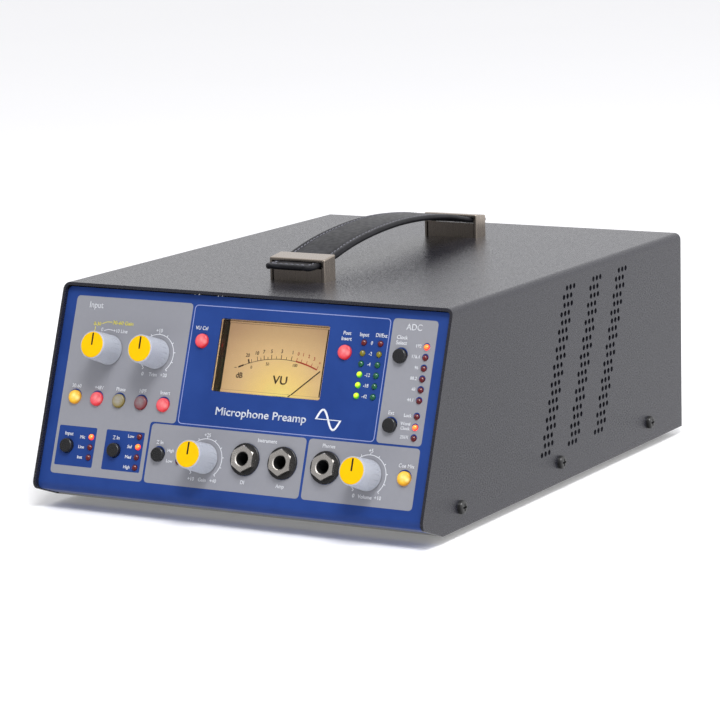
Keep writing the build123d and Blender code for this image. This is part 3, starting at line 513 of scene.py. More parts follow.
def circle(u, v, radius, steps=40):
    """A ring of points."""
    return [polar(u, v, radius, 2 * pi * step / steps) for step in range(steps)]


def rounded(corners, radius, steps=6):
    """A polygon with its corners rounded, outward and inward ones alike."""
    points = []
    count = len(corners)
    for index in range(count):
        before = Vector(corners[index - 1])
        here = Vector(corners[index])
        after = Vector(corners[(index + 1) % count])
        start = here + (before - here).normalized() * radius
        end = here + (after - here).normalized() * radius
        for step in range(steps + 1):
            share = step / steps
            first = start.lerp(here, share)
            second = here.lerp(end, share)
            points.append(tuple(first.lerp(second, share)))
    return points


def box_corners(left, right, low, high):
    """A rectangle's corners, anticlockwise from the lower left."""
    return [(left, low), (right, low), (right, high), (left, high)]


def curve_mesh(curve):
    """The mesh of a curve, which is used up."""
    maker = bpy.data.objects.new("maker", curve)
    mesh = bpy.data.meshes.new_from_object(maker)
    bpy.data.objects.remove(maker)
    bpy.data.curves.remove(curve)
    return mesh


def flat_mesh(outlines, thickness):
    """A flat plate from outlines in mm; those inside others are holes."""
    curve = bpy.data.curves.new("plate", "CURVE")
    curve.dimensions = "2D"
    curve.fill_mode = "BOTH"
    curve.extrude = thickness / 2
    for outline in outlines:
        spline = curve.splines.new("POLY")
        spline.points.add(len(outline) - 1)
        for point, (x, y) in zip(spline.points, outline):
            point.co = (x, y, 0, 1)
        spline.use_cyclic_u = True
    return curve_mesh(curve)


def text_mesh(words, size, thickness, side="CENTER"):
    """Letters in mm that stand on the x axis."""
    curve = bpy.data.curves.new("letters", "FONT")
    curve.body = words
    curve.size = size
    curve.extrude = thickness / 2
    curve.align_x = side
    curve.resolution_u = 3
    return curve_mesh(curve)


class Print:
    """Collects flat marks in mm and lays them on a plane as one piece."""

    def __init__(self):
        self.work = bmesh.new()

    def add(self, mesh, u=0.0, v=0.0):
        mesh.transform(Matrix.Translation((u, v, 0)))
        self.work.from_mesh(mesh)
        bpy.data.meshes.remove(mesh)

    def shape(self, *outlines):
        self.add(flat_mesh(outlines, PRINT_THICKNESS))

    def line(self, start, end, width):
        """A straight stroke with square ends."""
        start, end = Vector(start), Vector(end)
        side = (end - start).normalized()
        side = Vector((-side.y, side.x)) * width / 2
        self.shape([start + side, start - side, end - side, end + side])

    def path(self, points, width):
        for start, end in zip(points, points[1:]):
            self.line(start, end, width)

    def arc(self, u, v, radius, start, end, width, steps=48):
        """A curved stroke between two angles in degrees from the u axis."""
        outer, inner = [], []
        for step in range(steps + 1):
            angle = radians(start + (end - start) * step / steps)
            outer.append(polar(u, v, radius + width / 2, angle))
            inner.append(polar(u, v, radius - width / 2, angle))
        self.shape(outer + inner[::-1])

    def frame(self, corners, radius, width):
        """An outline of even width with rounded corners."""
        left, low = corners[0]
        right, high = corners[2]
        inner = box_corners(left + width, right - width, low + width, high - width)
        self.shape(rounded(corners, radius), rounded(inner, max(radius - width, 0.2)))

    def text(self, words, u, v, height, side="CENTER", width=None, bold=0.045):
        """Letters whose capitals are this high, with their middle line at v; a width fits them to it.

        They are laid twice, a hair apart, so that the strokes are thicker by the bold.
        """
        mesh = text_mesh(words, height / CAPITAL, PRINT_THICKNESS, side)
        stretch = 0.94
        if width is not None:
            places = [vertex.co.x for vertex in mesh.vertices]
            stretch = width / (max(places) - min(places))
        mesh.transform(Matrix.Scale(stretch, 4, (1, 0, 0)))
        for shift in (-bold, bold):
            self.add(mesh.copy(), u + shift, v + shift - height / 2)
        bpy.data.meshes.remove(mesh)

    def lay(self, name, matrix, slot, material, body="chassis"):
        mesh = bpy.data.meshes.new(name)
        bmesh.ops.remove_doubles(self.work, verts=self.work.verts, dist=1e-5)
        self.work.to_mesh(mesh)
        self.work.free()
        mesh.transform(matrix)
        return finish_piece(linked(name, mesh), body, material)


def capital_height():
    """Height of a capital letter over the built-in font's size."""
    mesh = text_mesh("H", 1.0, 0.0)
    heights = [vertex.co.y for vertex in mesh.vertices]
    bpy.data.meshes.remove(mesh)
    return max(heights) - min(heights)


CAPITAL = capital_height()

# ---- What is on the panel, from the frame ----
KNOBS = ("gain", "trim", "instrument", "volume")
knobs = {name: panel_spot(joints[f"{name}_turn"]["pos_m"]) for name in KNOBS}
LIT_KEYS = ("line", "high_impedance", "phantom", "phase", "high_pass", "meter_calibrate", "insert", "cue_mix")
PLAIN_KEYS = ("source", "impedance", "direct_input", "clock", "external_clock")
keys = {name: node_spot(f"{name}_button") for name in LIT_KEYS + PLAIN_KEYS}
leds = {colour: node_spots(f"{colour}_leds") for colour in ("red", "yellow", "green")}
FRONT_JACKS = ("output_jack", "amplifier_jack", "phones_jack")
mounts = frame["record"]["mounts"]
front_jacks = [panel_spot(mount["pos_m"]) for mount in mounts if mount["name"] in FRONT_JACKS]

KEY_HOLE, LED_HOLE, KNOB_HOLE, JACK_HOLE = 3.7, 1.75, 5.4, 8.0   # radii left free of ink

# Edges of the grey fields and of the two blue squares left bare in the first one.
FIELD_ROUND, SQUARE_ROUND = 2.2, 0.8
INPUT_LEFT, INPUT_RIGHT, INPUT_LOW_RIGHT = -102.3, -33.6, -48.0
FIELD_LOW, FIELD_MID, FIELD_TOP = 8.6, 38.1, 97.8
INPUT_STEP = FIELD_MID + 0.4
SQUARES = ((-100.7, -78.3), (-72.6, -50.2))
SQUARE_LOW, SQUARE_HIGH = 12.8, 32.6
PLAIN_FIELDS = (             # left, right, low, high
    (-46.8, 40.9, FIELD_LOW, 37.7), (42.2, 102.0, FIELD_LOW, 37.7), (78.1, 102.1, 38.7, FIELD_TOP),
)


def control_holes(left, right, low, high):
    """Round openings for the controls that stand in a stretch of the panel."""
    spots = [(spot, KEY_HOLE) for spot in keys.values()]
    spots += [(spot, LED_HOLE) for colour in leds.values() for spot in colour]
    spots += [(spot, KNOB_HOLE) for spot in knobs.values()]
    spots += [(spot, JACK_HOLE) for spot in front_jacks]
    inside = [(u, v, r) for (u, v), r in spots if left < u < right and low < v < high]
    return [circle(u, v, radius) for u, v, radius in inside]


def grey_fields():
    """The light grey printed areas, with blue left bare round two groups of keys."""
    ink = Print()
    outline = [
        (INPUT_LEFT, FIELD_LOW), (INPUT_LOW_RIGHT, FIELD_LOW), (INPUT_LOW_RIGHT, INPUT_STEP),
        (INPUT_RIGHT, INPUT_STEP), (INPUT_RIGHT, FIELD_TOP), (INPUT_LEFT, FIELD_TOP),
    ]
    holes = control_holes(INPUT_LEFT, INPUT_RIGHT, FIELD_MID, FIELD_TOP)
    squares = [rounded(box_corners(*sides, SQUARE_LOW, SQUARE_HIGH), SQUARE_ROUND) for sides in SQUARES]
    ink.shape(rounded(outline, FIELD_ROUND), *holes, *squares)
    for field in PLAIN_FIELDS:
        ink.shape(rounded(box_corners(*field), FIELD_ROUND), *control_holes(*field))
    ink.lay("grey_fields", panel_matrix(PRINT_LIFT), "blue_paint", printed("grey_ink", tone(142, 143, 150)))


def scale_ring(ink, spot, radius=9.7, low=-48, high=228, ticks=11):
    """The white scale round a knob, open at the bottom, with short ticks outward."""
    u, v = spot
    ink.arc(u, v, radius, low, high, 0.32)
    for tick in range(ticks):
        angle = radians(low + (high - low) * tick / (ticks - 1))
        ink.line(polar(u, v, radius - 0.1, angle), polar(u, v, radius + 1.0, angle), 0.34)


SMALL = 1.75                 # height of the capitals in the short labels
TINY = 1.5                   # and in the figures beside the LEDs
WHITE_WORDS = (              # words, u, v, capital height
    ("Input", -90.2, 93.6, 2.9), ("ADC", 89.7, 94.1, 2.9),
    ("0", -84.6, 81.6, SMALL), ("+10 Line", -73.7, 81.4, SMALL),
    ("30-60", -94.4, 52.7, SMALL), ("+48V", -81.0, 52.7, SMALL), ("Phase", -68.1, 52.8, SMALL),
    ("HPF", -55.1, 52.9, SMALL), ("Insert", -42.1, 53.0, SMALL),
    ("VU Cal", -26.7, 86.1, SMALL), ("Post", 54.3, 89.1, SMALL), ("Insert", 54.3, 86.4, SMALL),
    ("Clock", 84.0, 89.0, SMALL), ("Select", 84.0, 86.4, SMALL), ("Ext", 83.9, 53.3, SMALL),
    ("Input", 63.7, 88.9, SMALL), ("DI/Ext", 72.9, 89.1, SMALL),
    ("Input", -94.4, 28.8, SMALL), ("Z In", -66.4, 28.9, SMALL), ("Z In", -40.7, 28.8, SMALL),
    ("High", -33.9, 25.3, TINY), ("Low", -33.9, 20.2, TINY),
    ("Mic", -86.2, 27.6, TINY), ("Line", -86.2, 22.7, TINY), ("Inst", -86.2, 17.6, TINY),
    ("Low", -57.9, 30.3, TINY), ("Std", -57.9, 25.2, TINY), ("Med", -57.9, 20.1, TINY),
    ("High", -57.9, 15.1, TINY),
    ("Instrument", 19.5, 34.5, SMALL), ("Phones", 53.4, 34.9, SMALL),
    ("DI", 8.9, 13.6, SMALL), ("Amp", 29.9, 13.6, SMALL), ("Cue Mix", 96.0, 29.2, SMALL),
    ("+10", -50.9, 83.2, SMALL), ("0", -57.0, 61.4, SMALL), ("Trim", -50.9, 61.4, SMALL),
    ("+20", -44.7, 61.5, SMALL), ("+25", -14.2, 34.5, SMALL), ("+10", -20.2, 12.8, SMALL),
    ("Gain", -13.8, 12.8, SMALL), ("+40", -7.6, 12.8, SMALL), ("+5", 76.3, 34.7, SMALL),
    ("0", 70.2, 13.0, SMALL), ("Volume", 76.4, 12.9, SMALL), ("+10", 83.2, 13.0, SMALL),
)
METER_FIGURES = ("0", "-2", "-4", "-12", "-18", "-42")
METER_COLUMN = 64.0          # u of the left LED column of the level meter
RATE_FIGURES = ("192", "176.4", "96", "88.2", "48", "44.1", "Lock", "", "256X")
WORD_CLOCK_ROW = 7           # the rate LED with a label of two lines
RATE_GAP = 2.8               # from a rate LED's middle to the end of its label
LEGEND_LINE = 0.28


def legends():
    """White lines, scales and short labels on the panel."""
    ink = Print()
    for name in ("trim", "instrument", "volume"):
        scale_ring(ink, knobs[name])
    for words, u, v, height in WHITE_WORDS:
        ink.text(words, u, v, height)
    column = [spot for spots in leds.values() for spot in spots if abs(spot[0] - METER_COLUMN) < 1]
    for (u, v), words in zip(column, METER_FIGURES):
        ink.text(words, u + 4.3, v - 0.3, TINY + 0.1)
    rates = [spot for spot in leds["red"] if spot[0] > 90]
    for (u, v), words in zip(rates, RATE_FIGURES):
        ink.text(words, u - RATE_GAP, v, TINY, side="RIGHT")
    u, v = rates[WORD_CLOCK_ROW]
    ink.text("Word", u - RATE_GAP, v + 1.2, TINY, side="RIGHT")
    ink.text("Clock", u - RATE_GAP, v - 1.0, TINY, side="RIGHT")
    u, v = knobs["gain"]
    ink.path([(u - 5.2, v + 9.4), (u - 2.6, v + 10.2), (u + 0.4, v + 9.9)], LEGEND_LINE)
    ink.lay("white_legends", panel_matrix(OVERPRINT_LIFT), "blue_paint",
            printed("white_ink", tone(226, 228, 234)))


def title():
    """The plain name of the device with a wave sign, in white."""
    ink = Print()
    ink.text("Microphone Preamp", 13.4, 46.6, 3.7, width=50.6, bold=0.07)
    centre_u, centre_v, reach, swing = 50.8, 47.2, 6.6, 4.6
    shares = [step / 48 for step in range(49)]
    ink.path([(centre_u - reach + 2 * reach * share, centre_v + swing * sin(2 * pi * share))
              for share in shares], 1.0)
    ink.line((centre_u - reach - 0.6, centre_v), (centre_u + reach + 0.6, centre_v), 0.35)
    ink.lay("title", panel_matrix(OVERPRINT_LIFT), "blue_paint",
            printed("title_ink", tone(228, 232, 240)))


def meter_outline():
    """The thin pale line round the meter's part of the panel."""
    ink = Print()
    ink.frame(box_corners(-32.5, 77.0, 38.7, 97.4), 2.4, 0.42)
    pale = printed("pale_line", tone(138, 148, 196))
    ink.lay("meter_outline", panel_matrix(PRINT_LIFT), "blue_paint", pale)


def gain_legends():
    """Yellow range figures and their line above the stepped gain knob."""
    ink = Print()
    u, v = knobs["gain"]
    ink.text("0-30", u - 9.5, v + 12.6, SMALL)
    ink.text("30-60 Gain", u + 5.6, v + 13.8, SMALL, width=12.0)
    ink.path([(u - 10.6, v + 8.4), (u - 10.4, v + 11.2)], LEGEND_LINE)
    ink.path([(u - 6.7, v + 12.9), (u - 3.6, v + 13.9), (u - 0.9, v + 13.9)], LEGEND_LINE)
    ink.lay("yellow_legends", panel_matrix(OVERPRINT_LIFT), "yellow_cap",
            printed("yellow_ink", tone(232, 220, 70)))


def pointers():
    """Black pointer lines on the yellow knob caps, from the rim towards the middle."""
    black = printed("pointer_ink", tone(14, 14, 16))
    half = 0.45              # of the line's width
    for name, (u, v) in knobs.items():
        top = node_top(f"{name}_knob_cap")
        ink = Print()
        ink.shape(rounded(box_corners(u - half, u + half, v - 0.2, v + 5.9), 0.35))
        ink.lay(f"{name}_pointer", panel_matrix(top + PRINT_LIFT), "black_plastic", black, f"{name}_control")


# ---- Rear panel ----
REAR_WORD = 2.6              # height of the capitals on the rear panel
REAR_SMALL = 0.8 * REAR_WORD
REAR_JACKS = ("Insert Send", "Insert Return", "DI Out", "Cue Mix")
SOCKET_WORD_UP = 19.5        # from a socket's middle to the middle of its label
JACK_WORDS_DOWN = (12.0, 15.0)
CLOCK_WORD_DOWN = 3.2        # from the digital card's lower edge


def rear_matrix():
    """Turns (across, up, height) in mm on the rear panel into the shared frame."""
    _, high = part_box("rear_panel")
    turn = Matrix(((-1, 0, 0), (0, 0, 1), (0, 1, 0))).to_4x4()
    return Matrix.Translation((0, high.y + PRINT_LIFT * MM, 0)) @ turn @ Matrix.Scale(MM, 4)


def rear_spot(points):
    """The middle of some points, across and up the rear panel as it is seen, in mm."""
    spot = middle(points) / MM
    return -spot.x, spot.z


def rear_legends():
    """Short white labels at the rear connectors."""
    ink = Print()
    u, v = rear_spot(islands("mic_socket")[0])
    ink.text("Mic", u, v + SOCKET_WORD_UP, REAR_WORD)
    outputs = sorted(rear_spot(points) for points in islands("output_sockets"))
    for (u, v), words in zip(outputs, ("Output", "DI Output")):
        ink.text(words, u, v + SOCKET_WORD_UP, REAR_WORD)
    collars = [points for points in islands("jack_collars") if middle(points).y > 0]
    for (u, v), words in zip(sorted(rear_spot(points) for points in collars), REAR_JACKS):
        for word, down in zip(words.split(), JACK_WORDS_DOWN):
            ink.text(word, u, v - down, REAR_SMALL)
    low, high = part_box("digital_card")
    u, _ = rear_spot([low, high])
    ink.text("Word Clock", u, low.z / MM - CLOCK_WORD_DOWN, REAR_SMALL)
    ink.lay("rear_legends", rear_matrix(), "black_powder_coat", printed("rear_ink", tone(222, 222, 226)))


# ---- Meter ----
ARC_U, ARC_V, ARC_RADIUS = 15.5, 21.0, 54.1      # the dial's scale, on the panel's u and v
ARC_LEFT, ARC_RED, ARC_RIGHT = (-7.4, 70.0), (23.4, 75.3), (35.4, 71.2)
BLACK_FIGURES = (
    ("20", -4.0, 75.8), ("10", 1.0, 77.2), ("7", 4.8, 78.1), ("5", 9.2, 78.6), ("3", 14.9, 79.0),
    ("1", 21.0, 78.8),
)
RED_FIGURES = (
    ("0", 24.2, 78.4), ("1", 27.0, 78.2), ("2", 30.2, 77.6), ("3", 33.3, 76.6), ("+", 36.6, 74.8),
)
SHARE_FIGURES = (("0", -1.1, 70.1), ("50", 7.7, 72.3), ("100", 23.0, 72.7))


def arc_angle(u, v):
    """The angle in degrees, from the u axis, of a place seen from the middle of the dial's scale."""
    return 90 - Vector((0, 1)).angle_signed(Vector((u - ARC_U, v - ARC_V))) * 180 / pi


def tick(ink, angle, length, width):
    """A short line outward from the dial's scale."""
    angle = radians(angle)
    outer = ARC_RADIUS + length
    ink.line(polar(ARC_U, ARC_V, ARC_RADIUS, angle), polar(ARC_U, ARC_V, outer, angle), width)


def dial_print():
    """Scale arcs, ticks and figures of the level meter."""
    black, red = Print(), Print()
    red_start, red_end, left_end = arc_angle(*ARC_RED), arc_angle(*ARC_RIGHT), arc_angle(*ARC_LEFT)
    black.arc(ARC_U, ARC_V, ARC_RADIUS, red_start, left_end, 0.26)
    red.arc(ARC_U, ARC_V, ARC_RADIUS + 0.1, red_end, red_start, 0.7)
    black_angles = [arc_angle(u, v) for _, u, v in BLACK_FIGURES]
    for (words, u, v), angle in zip(BLACK_FIGURES, black_angles):
        black.text(words, u, v, 1.7, bold=0.05)
        tick(black, angle, 2.1, 0.8 if words == "20" else 0.34)
    for first, second in zip(black_angles[1:], black_angles[2:]):
        tick(black, (first + second) / 2, 1.3, 0.28)
    tick(black, black_angles[0] - 1.6, 1.6, 0.28)
    for words, u, v in RED_FIGURES:
        red.text(words, u, v, 1.6, bold=0.04)
        tick(red, arc_angle(u, v), 1.9, 0.3)
    for words, u, v in SHARE_FIGURES:
        black.text(words, u, v, 1.4, bold=0.03)
    black.line((-8.4, 69.7), (-5.6, 70.9), 0.75)
    black.line((-10.6, 69.4), (-9.4, 69.4), 0.3)
    black.text("VU", 16.1, 65.0, 3.9, width=8.0, bold=0.12)
    black.text("dB", -7.2, 65.8, 2.6, bold=0.08)
    matrix = panel_matrix(node_top("meter_dial") + PRINT_LIFT)
    black.lay("dial_black_print", matrix, "needle_black", printed("dial_black", tone(66, 44, 24)))
    red.lay("dial_red_print", matrix, "needle_black", printed("dial_red", tone(190, 62, 44)))


# ---- Strap ----
STRAP_BANDS = 150            # rows of faces along the strap
STRAP_END_INSET = 0.6        # where the first and last rows are
STRAP_HALF_THICKNESS = 1.45
STRAP_CORNER = 4.0
SEAM_INSET = 3.0             # from the strap's edge to its thread
STITCH_PITCH, STITCH_RUN = 3.1, 2.3
STITCH_SIDES = 8
SEAM_END = 4.0               # the long seams start and stop this far from the tails' ends
TAIL_SEAM = 2.6              # and the seams across are this far from them


def build_strap():
    """Padded strap with rolled edges, a sunk seam line each side and rounded tails."""
    node = frame["nodes"]["handle_strap"]
    low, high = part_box("handle_strap")
    width = (high.x - low.x) / MM
    bands = STRAP_BANDS
    inset = STRAP_END_INSET * MM
    centres = []
    for band in range(bands + 1):
        y = low.y + inset + (high.y - low.y - 2 * inset) * band / bands
        centres.append(Vector((0, y, (strap_height(node, y, -1) + strap_height(node, y, 1)) / 2)))
    smooth = [centres[0]]
    for before, here, after in zip(centres, centres[1:], centres[2:]):
        smooth.append((before + here * 2 + after) / 4)
    smooth.append(centres[-1])
    vertices, faces = [], []
    profile = strap_profile(width)
    for index, centre in enumerate(smooth):
        ahead = smooth[min(index + 1, bands)] - smooth[max(index - 1, 0)]
        along = ahead.normalized()
        normal = Vector((0, -along.z, along.y))
        from_end = min(index, bands - index) / bands * (high.y - low.y) / MM
        narrow, thin = tail_shape(from_end, width)
        for x, h in profile:
            vertices.append(centre + Vector((x * narrow * MM, 0, 0)) + normal * (h * thin * MM))
    count = len(profile)
    for index in range(bands):
        first, second = index * count, (index + 1) * count
        for step in range(count):
            after = (step + 1) % count
            faces.append((first + step, first + after, second + after, second + step))
    faces.append(tuple(range(count))[::-1])
    faces.append(tuple(range(bands * count, (bands + 1) * count)))
    strap = mesh_piece("strap", vertices, faces, smooth=True)
    finish_piece(strap, "chassis", leather())
    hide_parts("handle_strap")
    build_stitches(smooth, width, (high.y - low.y) / MM)


def strap_height(node, y, direction):
    """Height of the CAD strap's upper (-1) or lower (1) skin at a place along it."""
    start = Vector((0.0, y, 1.0 if direction < 0 else -1.0))
    hit, spot, _, _ = node.ray_cast(start, Vector((0, 0, direction)))
    if not hit:
        raise ValueError(f"the strap has no skin at y = {y:.4f}")
    return spot.z


def strap_profile(width):
    """Cross-section points (x, height) in mm, anticlockwise from the right edge."""
    half, thick = width / 2, STRAP_HALF_THICKNESS
    seam = half - SEAM_INSET
    top = [polar(half - thick, 0, thick, pi / 2 * step / 6) for step in range(7)]
    for shift, sunk in ((0.7, 0.10), (0.3, 0.42), (-0.3, 0.42), (-0.8, 0.22), (-3.0, 0.14)):
        top.append((seam + shift, thick - sunk))
    top.append((half * 0.35, thick - 0.10))
    mirrored = [(-x, h) for x, h in reversed(top)]
    upper = top + mirrored
    lower = [(-x, -h) for x, h in upper[1:-1]]
    return upper + lower


def tail_shape(from_end, width):
    """How narrow and thin the strap is, as shares, this far from its end in mm."""
    corner = STRAP_CORNER
    if from_end >= corner:
        return 1.0, 1.0
    gap = corner - from_end
    drop = corner - (corner ** 2 - gap ** 2) ** 0.5
    edge = 1.2
    thin = 1.0 if from_end > edge else 0.55 + 0.45 * (1 - (1 - from_end / edge) ** 2) ** 0.5
    return 1 - 2 * drop / width, thin


def stitch(work, start, end, normal, radius=0.34):
    """One short thread run, sunk a little at both ends."""
    along = (end - start).normalized()
    side = along.cross(normal).normalized()
    rings = []
    for share, height, size in ((0, -0.25, 0.5), (0.2, 0.1, 1.0), (0.8, 0.1, 1.0), (1, -0.25, 0.5)):
        centre = start.lerp(end, share) + normal * height * MM
        ring = []
        for step in range(STITCH_SIDES):
            angle = 2 * pi * step / STITCH_SIDES
            offset = side * cos(angle) + normal * sin(angle)
            ring.append(work.verts.new(centre + offset * radius * size * MM))
        rings.append(ring)
    for first, second in zip(rings, rings[1:]):
        for step in range(STITCH_SIDES):
            after = (step + 1) % STITCH_SIDES
            work.faces.new((first[step], first[after], second[after], second[step]))
    work.faces.new(rings[0][::-1])
    work.faces.new(rings[-1])


def build_stitches(centres, width, length):
    """Thread along both edges on both faces, and across each tail."""
    work = bmesh.new()
    pitch, run = STITCH_PITCH, STITCH_RUN
    seam = width / 2 - SEAM_INSET
    for face in (-1, 1):
        for index in range(int((length - 2 * SEAM_END) / pitch)):
            start = SEAM_END + index * pitch
            first, normal = along_strap(centres, start / length)
            second, _ = along_strap(centres, (start + run) / length)
            for side in (-1, 1):
                shift = Vector((side * seam * MM, 0, 0)) + normal * face * 1.10 * MM
                stitch(work, first + shift, second + shift, normal * face)
    for end in (TAIL_SEAM, length - TAIL_SEAM):
        centre, normal = along_strap(centres, end / length)
        centre = centre + normal * 1.22 * MM
        steps = int((width - 2 * SEAM_END) / pitch)
        for index in range(steps):
            x = -(steps * pitch - (pitch - run)) / 2 + index * pitch
            stitch(work, centre + across * x * MM, centre + across * (x + run) * MM, normal)
    mesh = bpy.data.meshes.new("strap_stitches")
    work.to_mesh(mesh)
    work.free()
    for polygon in mesh.polygons:
        polygon.use_smooth = True
    finish_piece(linked("strap_stitches", mesh), "chassis", thread())


def along_strap(centres, share):
    """The point at a share of the strap's length, and the way up from its face there."""
    place = share * (len(centres) - 1)
    index = min(int(place), len(centres) - 2)
    point = centres[index].lerp(centres[index + 1], place - index)
    along = (centres[index + 1] - centres[index]).normalized()
    return point, Vector((0, -along.z, along.y))


# ---- Materials of the CAD pieces ----
RED_GLOW = [tone(246, 150, 150), tone(240, 118, 124), tone(236, 92, 102), tone(204, 36, 44)]
YELLOW_GLOW = [tone(255, 240, 160), tone(250, 222, 110), tone(240, 190, 52), tone(190, 126, 20)]
DULL_YELLOW = [tone(158, 155, 150), tone(152, 148, 138), tone(146, 138, 112), tone(116, 98, 22)]
DULL_RED = [tone(138, 128, 130), tone(132, 118, 121), tone(126, 92, 96), tone(118, 30, 36)]
HOT_SPOT = (across * 2.2 - upward * 1.0) * MM    # from a lens's middle to its brightest place
LENS_REACH = 3.9 * MM        # from its middle to its rim
DIAL_GLOW_CENTRE = (16.5, 54.0, 0)  # u, v and height of the meter lamp at the dial's foot, where the glow painted on the dial is brightest
LENSES = {
    "line": (YELLOW_GLOW, 0.66), "high_impedance": (RED_GLOW, 0.60), "phantom": (DULL_YELLOW, 0),
    "phase": (DULL_RED, 0), "high_pass": (RED_GLOW, 0.60), "meter_calibrate": (RED_GLOW, 0.60),
    "insert": (RED_GLOW, 0.60), "cue_mix": (YELLOW_GLOW, 0.66),
}


def button_top(name):
    """The middle of a button's outer face."""
    u, v = keys[name]
    return panel_matrix() @ Vector((u, v, node_top(f"{name}_button")))


def dress_case():
    """Sheets, screws, feet and the handle's metal."""
    dress(powder_coat(), "top_cover", "rear_panel", "digital_card")
    dress(blue_paint(), "front_panel")
    zinc = brushed_metal("zinc_plate", (0.60, 0.60, 0.58), 0.38, (40, 900, 900))
    dress(zinc, "base_tray", "inner_fasteners")
    dress(moulded("black_screws", (0.02, 0.02, 0.02), 0.32, shine=0.6), "case_screws")
    dress(rubber(), "feet")
    nickel = brushed_metal("brushed_nickel", tone(178, 167, 155), 0.24, (5200, 5200, 90), 0.00001)
    dress(nickel, "handle_caps", "handle_blocks")


def dress_controls():
    """Knobs, shafts, the buttons with lenses, and the meter's case, needle and dial."""
    grey = moulded("grey_knob", tone(180, 184, 194), 0.30)
    yellow = moulded("yellow_cap", tone(248, 192, 0), 0.40, 0.00001, shine=0.15)
    steel = brushed_metal("shaft_steel", (0.6, 0.6, 0.6), 0.3, (900, 900, 40))
    for name in knobs:
        dress(grey, f"{name}_knob")
        dress(yellow, f"{name}_knob_cap")
        dress(steel, f"{name}_shaft")
    for name, (colours, glow) in LENSES.items():
        spot = button_top(name)
        dress(lens(f"{name}_lens", spot, colours, LENS_REACH, spot + HOT_SPOT, glow), f"{name}_button")
    dress(clear_plastic(), "meter_case")
    dress(moulded("needle_black", tone(60, 40, 22), 0.5), "meter_needle")
    # the meter lamp's glow is painted on the dial round this point, not cast by a lamp
    lamp = panel_matrix(node_top("meter_dial")) @ Vector(DIAL_GLOW_CENTRE)
    dress(painted_glow_dial(lamp), "meter_dial")


def dress_sockets():
    """Black mouldings, the plain buttons among them, and the connectors' plated metal."""
    black = moulded("black_plastic", (0.014, 0.014, 0.015), 0.24, 0.000003, shine=0.6)
    dress(black, *(f"{name}_button" for name in PLAIN_KEYS), "jack_collars", "mains_inlet", "power_rocker")
    dress(plated("bright_nickel", tone(248, 242, 234), 0.20), "panel_nuts", "clock_sockets")
    satin = brushed_metal("satin_nickel", (0.50, 0.49, 0.47), 0.34, (900, 60, 60))
    dress(satin, "mic_socket", "output_sockets")


def dress_inside():
    """Switch bodies, boards and transformers."""
    dark = moulded("dark_plastic", (0.02, 0.02, 0.02), 0.5)
    dress(dark, "gain_switch", "potentiometers", "push_switches", "jack_sockets", "meter_movement")
    dress(moulded("capacitor_sleeve", (0.02, 0.03, 0.08), 0.3), "board_components")
    dress(brushed_metal("transformer_can", (0.5, 0.5, 0.52), 0.4, (60, 60, 900)), "input_transformer")
    dress(moulded("ribbon", (0.42, 0.42, 0.45), 0.5), "ribbon_cable")
    dress(circuit_board(), "front_board", "main_board")
    dress(wound_tape(), "mains_transformer")


LIT_RED = (                  # parts of the panel whose LEDs are lit: left, right, low, high
    (-82.1, -80.1, 26, FIELD_TOP), (-54.1, -52.1, 23, 27), (90, 110, 83, FIELD_TOP), (90, 110, 46, 48),
)
LIT_GREEN = ((METER_COLUMN - 1, METER_COLUMN + 1, 0, 72),)
LED_CORE_LIFT = 0.6          # of the light inside an LED, off the panel's face


def lit_leds(colour, areas):
    """Where the lit LEDs of one colour glow from."""
    lit = []
    for u, v in leds[colour]:
        if any(left < u < right and low < v < high for left, right, low, high in areas):
            lit.append(panel_matrix(LED_CORE_LIFT) @ Vector((u, v, 0)))
    return lit


def dress_leds():
    """The three colours of LED, each one material with its lit ones glowing."""
    red_on, green_on = lit_leds("red", LIT_RED), lit_leds("green", LIT_GREEN)
    ember, flame = tone(250, 52, 50), tone(255, 132, 48)
    leaf, lime = tone(70, 150, 20), tone(190, 225, 30)
    dress(led_lens("red_led", tone(104, 10, 20), flame, ember, red_on, 1.0), "red_leds")
    dress(led_lens("yellow_led", tone(128, 118, 16), flame, ember, [], 0), "yellow_leds")
    dress(led_lens("green_led", tone(10, 96, 62), lime, leaf, green_on, 0.7), "green_leds")


# ---- Camera, light and floor ----
CAMERA_AT = Vector((0.77131, -1.32847, 0.34552))
CAMERA_AHEAD = Vector((-0.49625, 0.84842, -0.18417))
CAMERA_UP = Vector((-0.07007, 0.17230, 0.98255))
FOCAL_LENGTH = 152.02


def set_camera():
    """A long lens from the front right, slightly above."""
    data = bpy.data.cameras.new("camera")
    data.lens = FOCAL_LENGTH
    data.sensor_width = 36.0
    data.clip_start = 0.05
    data.clip_end = 50.0
    camera = linked("camera", data)
    right = CAMERA_AHEAD.cross(CAMERA_UP).normalized()
    up = right.cross(CAMERA_AHEAD).normalized()
    turn = Matrix((right, up, -CAMERA_AHEAD.normalized())).transposed().to_4x4()
    camera.matrix_world = Matrix.Translation(CAMERA_AT) @ turn
    bpy.context.scene.camera = camera


def area_light(name, place, target, size, power):
    """A square soft lamp, turned towards a point."""
    data = bpy.data.lights.new(name, "AREA")
    data.shape = "SQUARE"
    data.size = size
    data.energy = power
    light = linked(name, data)
    aim = Vector(target) - Vector(place)
    light.matrix_world = Matrix.Translation(place) @ aim.to_track_quat("-Z", "Y").to_matrix().to_4x4()


BRIGHT_SIDE = Vector((0.45, 0.70, 0.55))
ROOM_DIM, ROOM_DUSK, ROOM_PALE = (0.26, 0.26, 0.27), (0.36, 0.36, 0.37), (0.98, 0.98, 1.0)


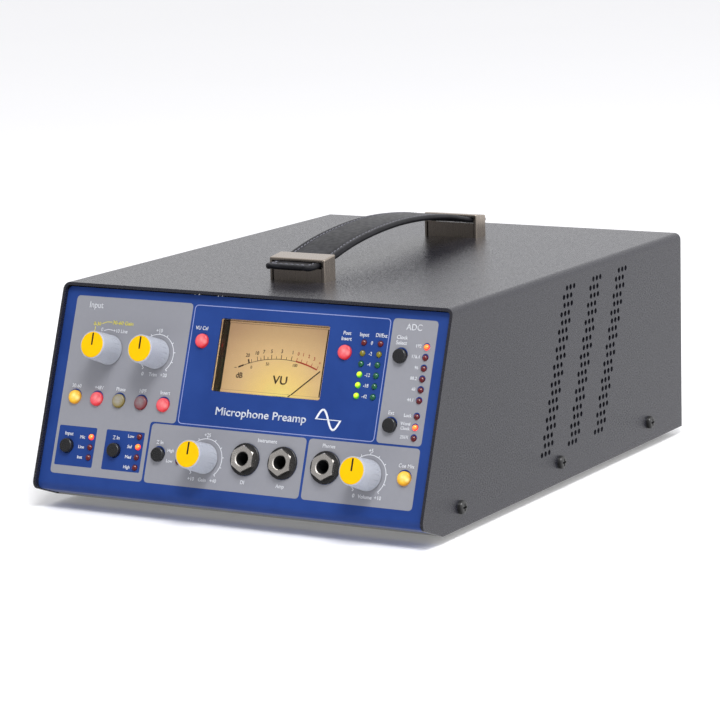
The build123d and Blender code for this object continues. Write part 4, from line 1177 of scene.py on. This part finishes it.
def set_world():
    """A white room, dimmer behind the camera, with a plain white backdrop."""
    world = bpy.data.worlds.new("studio")
    world.use_nodes = True
    nodes, links = world.node_tree.nodes, world.node_tree.links
    sky = nodes["Background"]
    direction = nodes.new("ShaderNodeTexCoord")
    toward = nodes.new("ShaderNodeVectorMath")
    toward.operation = "DOT_PRODUCT"
    toward.inputs[1].default_value = BRIGHT_SIDE.normalized()
    links.new(direction.outputs["Generated"], toward.inputs[0])
    height = nodes.new("ShaderNodeMapRange")
    height.inputs["From Min"].default_value = -1.0
    links.new(toward.outputs["Value"], height.inputs["Value"])
    ramp = nodes.new("ShaderNodeValToRGB")
    stops = ((0.0, ROOM_DIM), (0.30, ROOM_DUSK), (0.62, ROOM_PALE), (1.0, ROOM_PALE))
    Paint.set_stops(ramp.color_ramp, stops)
    links.new(height.outputs[0], ramp.inputs[0])
    links.new(ramp.outputs[0], sky.inputs["Color"])
    sky.inputs["Strength"].default_value = 1.0
    backdrop = nodes.new("ShaderNodeBackground")
    backdrop.inputs["Color"].default_value = (1, 1, 1, 1)
    seen = nodes.new("ShaderNodeLightPath")
    choice = nodes.new("ShaderNodeMixShader")
    links.new(seen.outputs["Is Camera Ray"], choice.inputs[0])
    links.new(sky.outputs[0], choice.inputs[1])
    links.new(backdrop.outputs[0], choice.inputs[2])
    links.new(choice.outputs[0], nodes["World Output"].inputs["Surface"])
    bpy.context.scene.world = world
    bpy.context.scene.view_settings.view_transform = "Standard"


def set_lamps():
    """Two soft lamps, above the front and to the right."""
    area_light("key", (0.55, -0.75, 1.6), (0, 0, 0.03), 0.7, 21)
    area_light("side", (1.7, 0.3, 0.9), (0, 0, 0.05), 1.0, 8)


def set_floor():
    """A wide white floor that shiny pieces don't mirror."""
    corners = [(x, y, 0) for x, y in box_corners(-6, 6, -6, 6)]
    floor = mesh_piece("floor", corners, [(0, 1, 2, 3)])
    floor.visible_glossy = False
    paint = Paint("floor_paper", roughness=0.8, specular=0.2)
    paint.set(base_color=paint.blend(paint.noise(3, 2), (0.95, 0.95, 0.955), (0.97, 0.97, 0.975)))
    paint.set(emission=(1, 1, 1), glow=0.06)
    floor.data.materials.append(paint.material)


set_camera()
set_world()
set_lamps()
set_floor()
dress_case()
dress_controls()
dress_sockets()
dress_inside()
dress_leds()
grey_fields()
meter_outline()
legends()
title()
gain_legends()
rear_legends()
pointers()
dial_print()
build_strap()
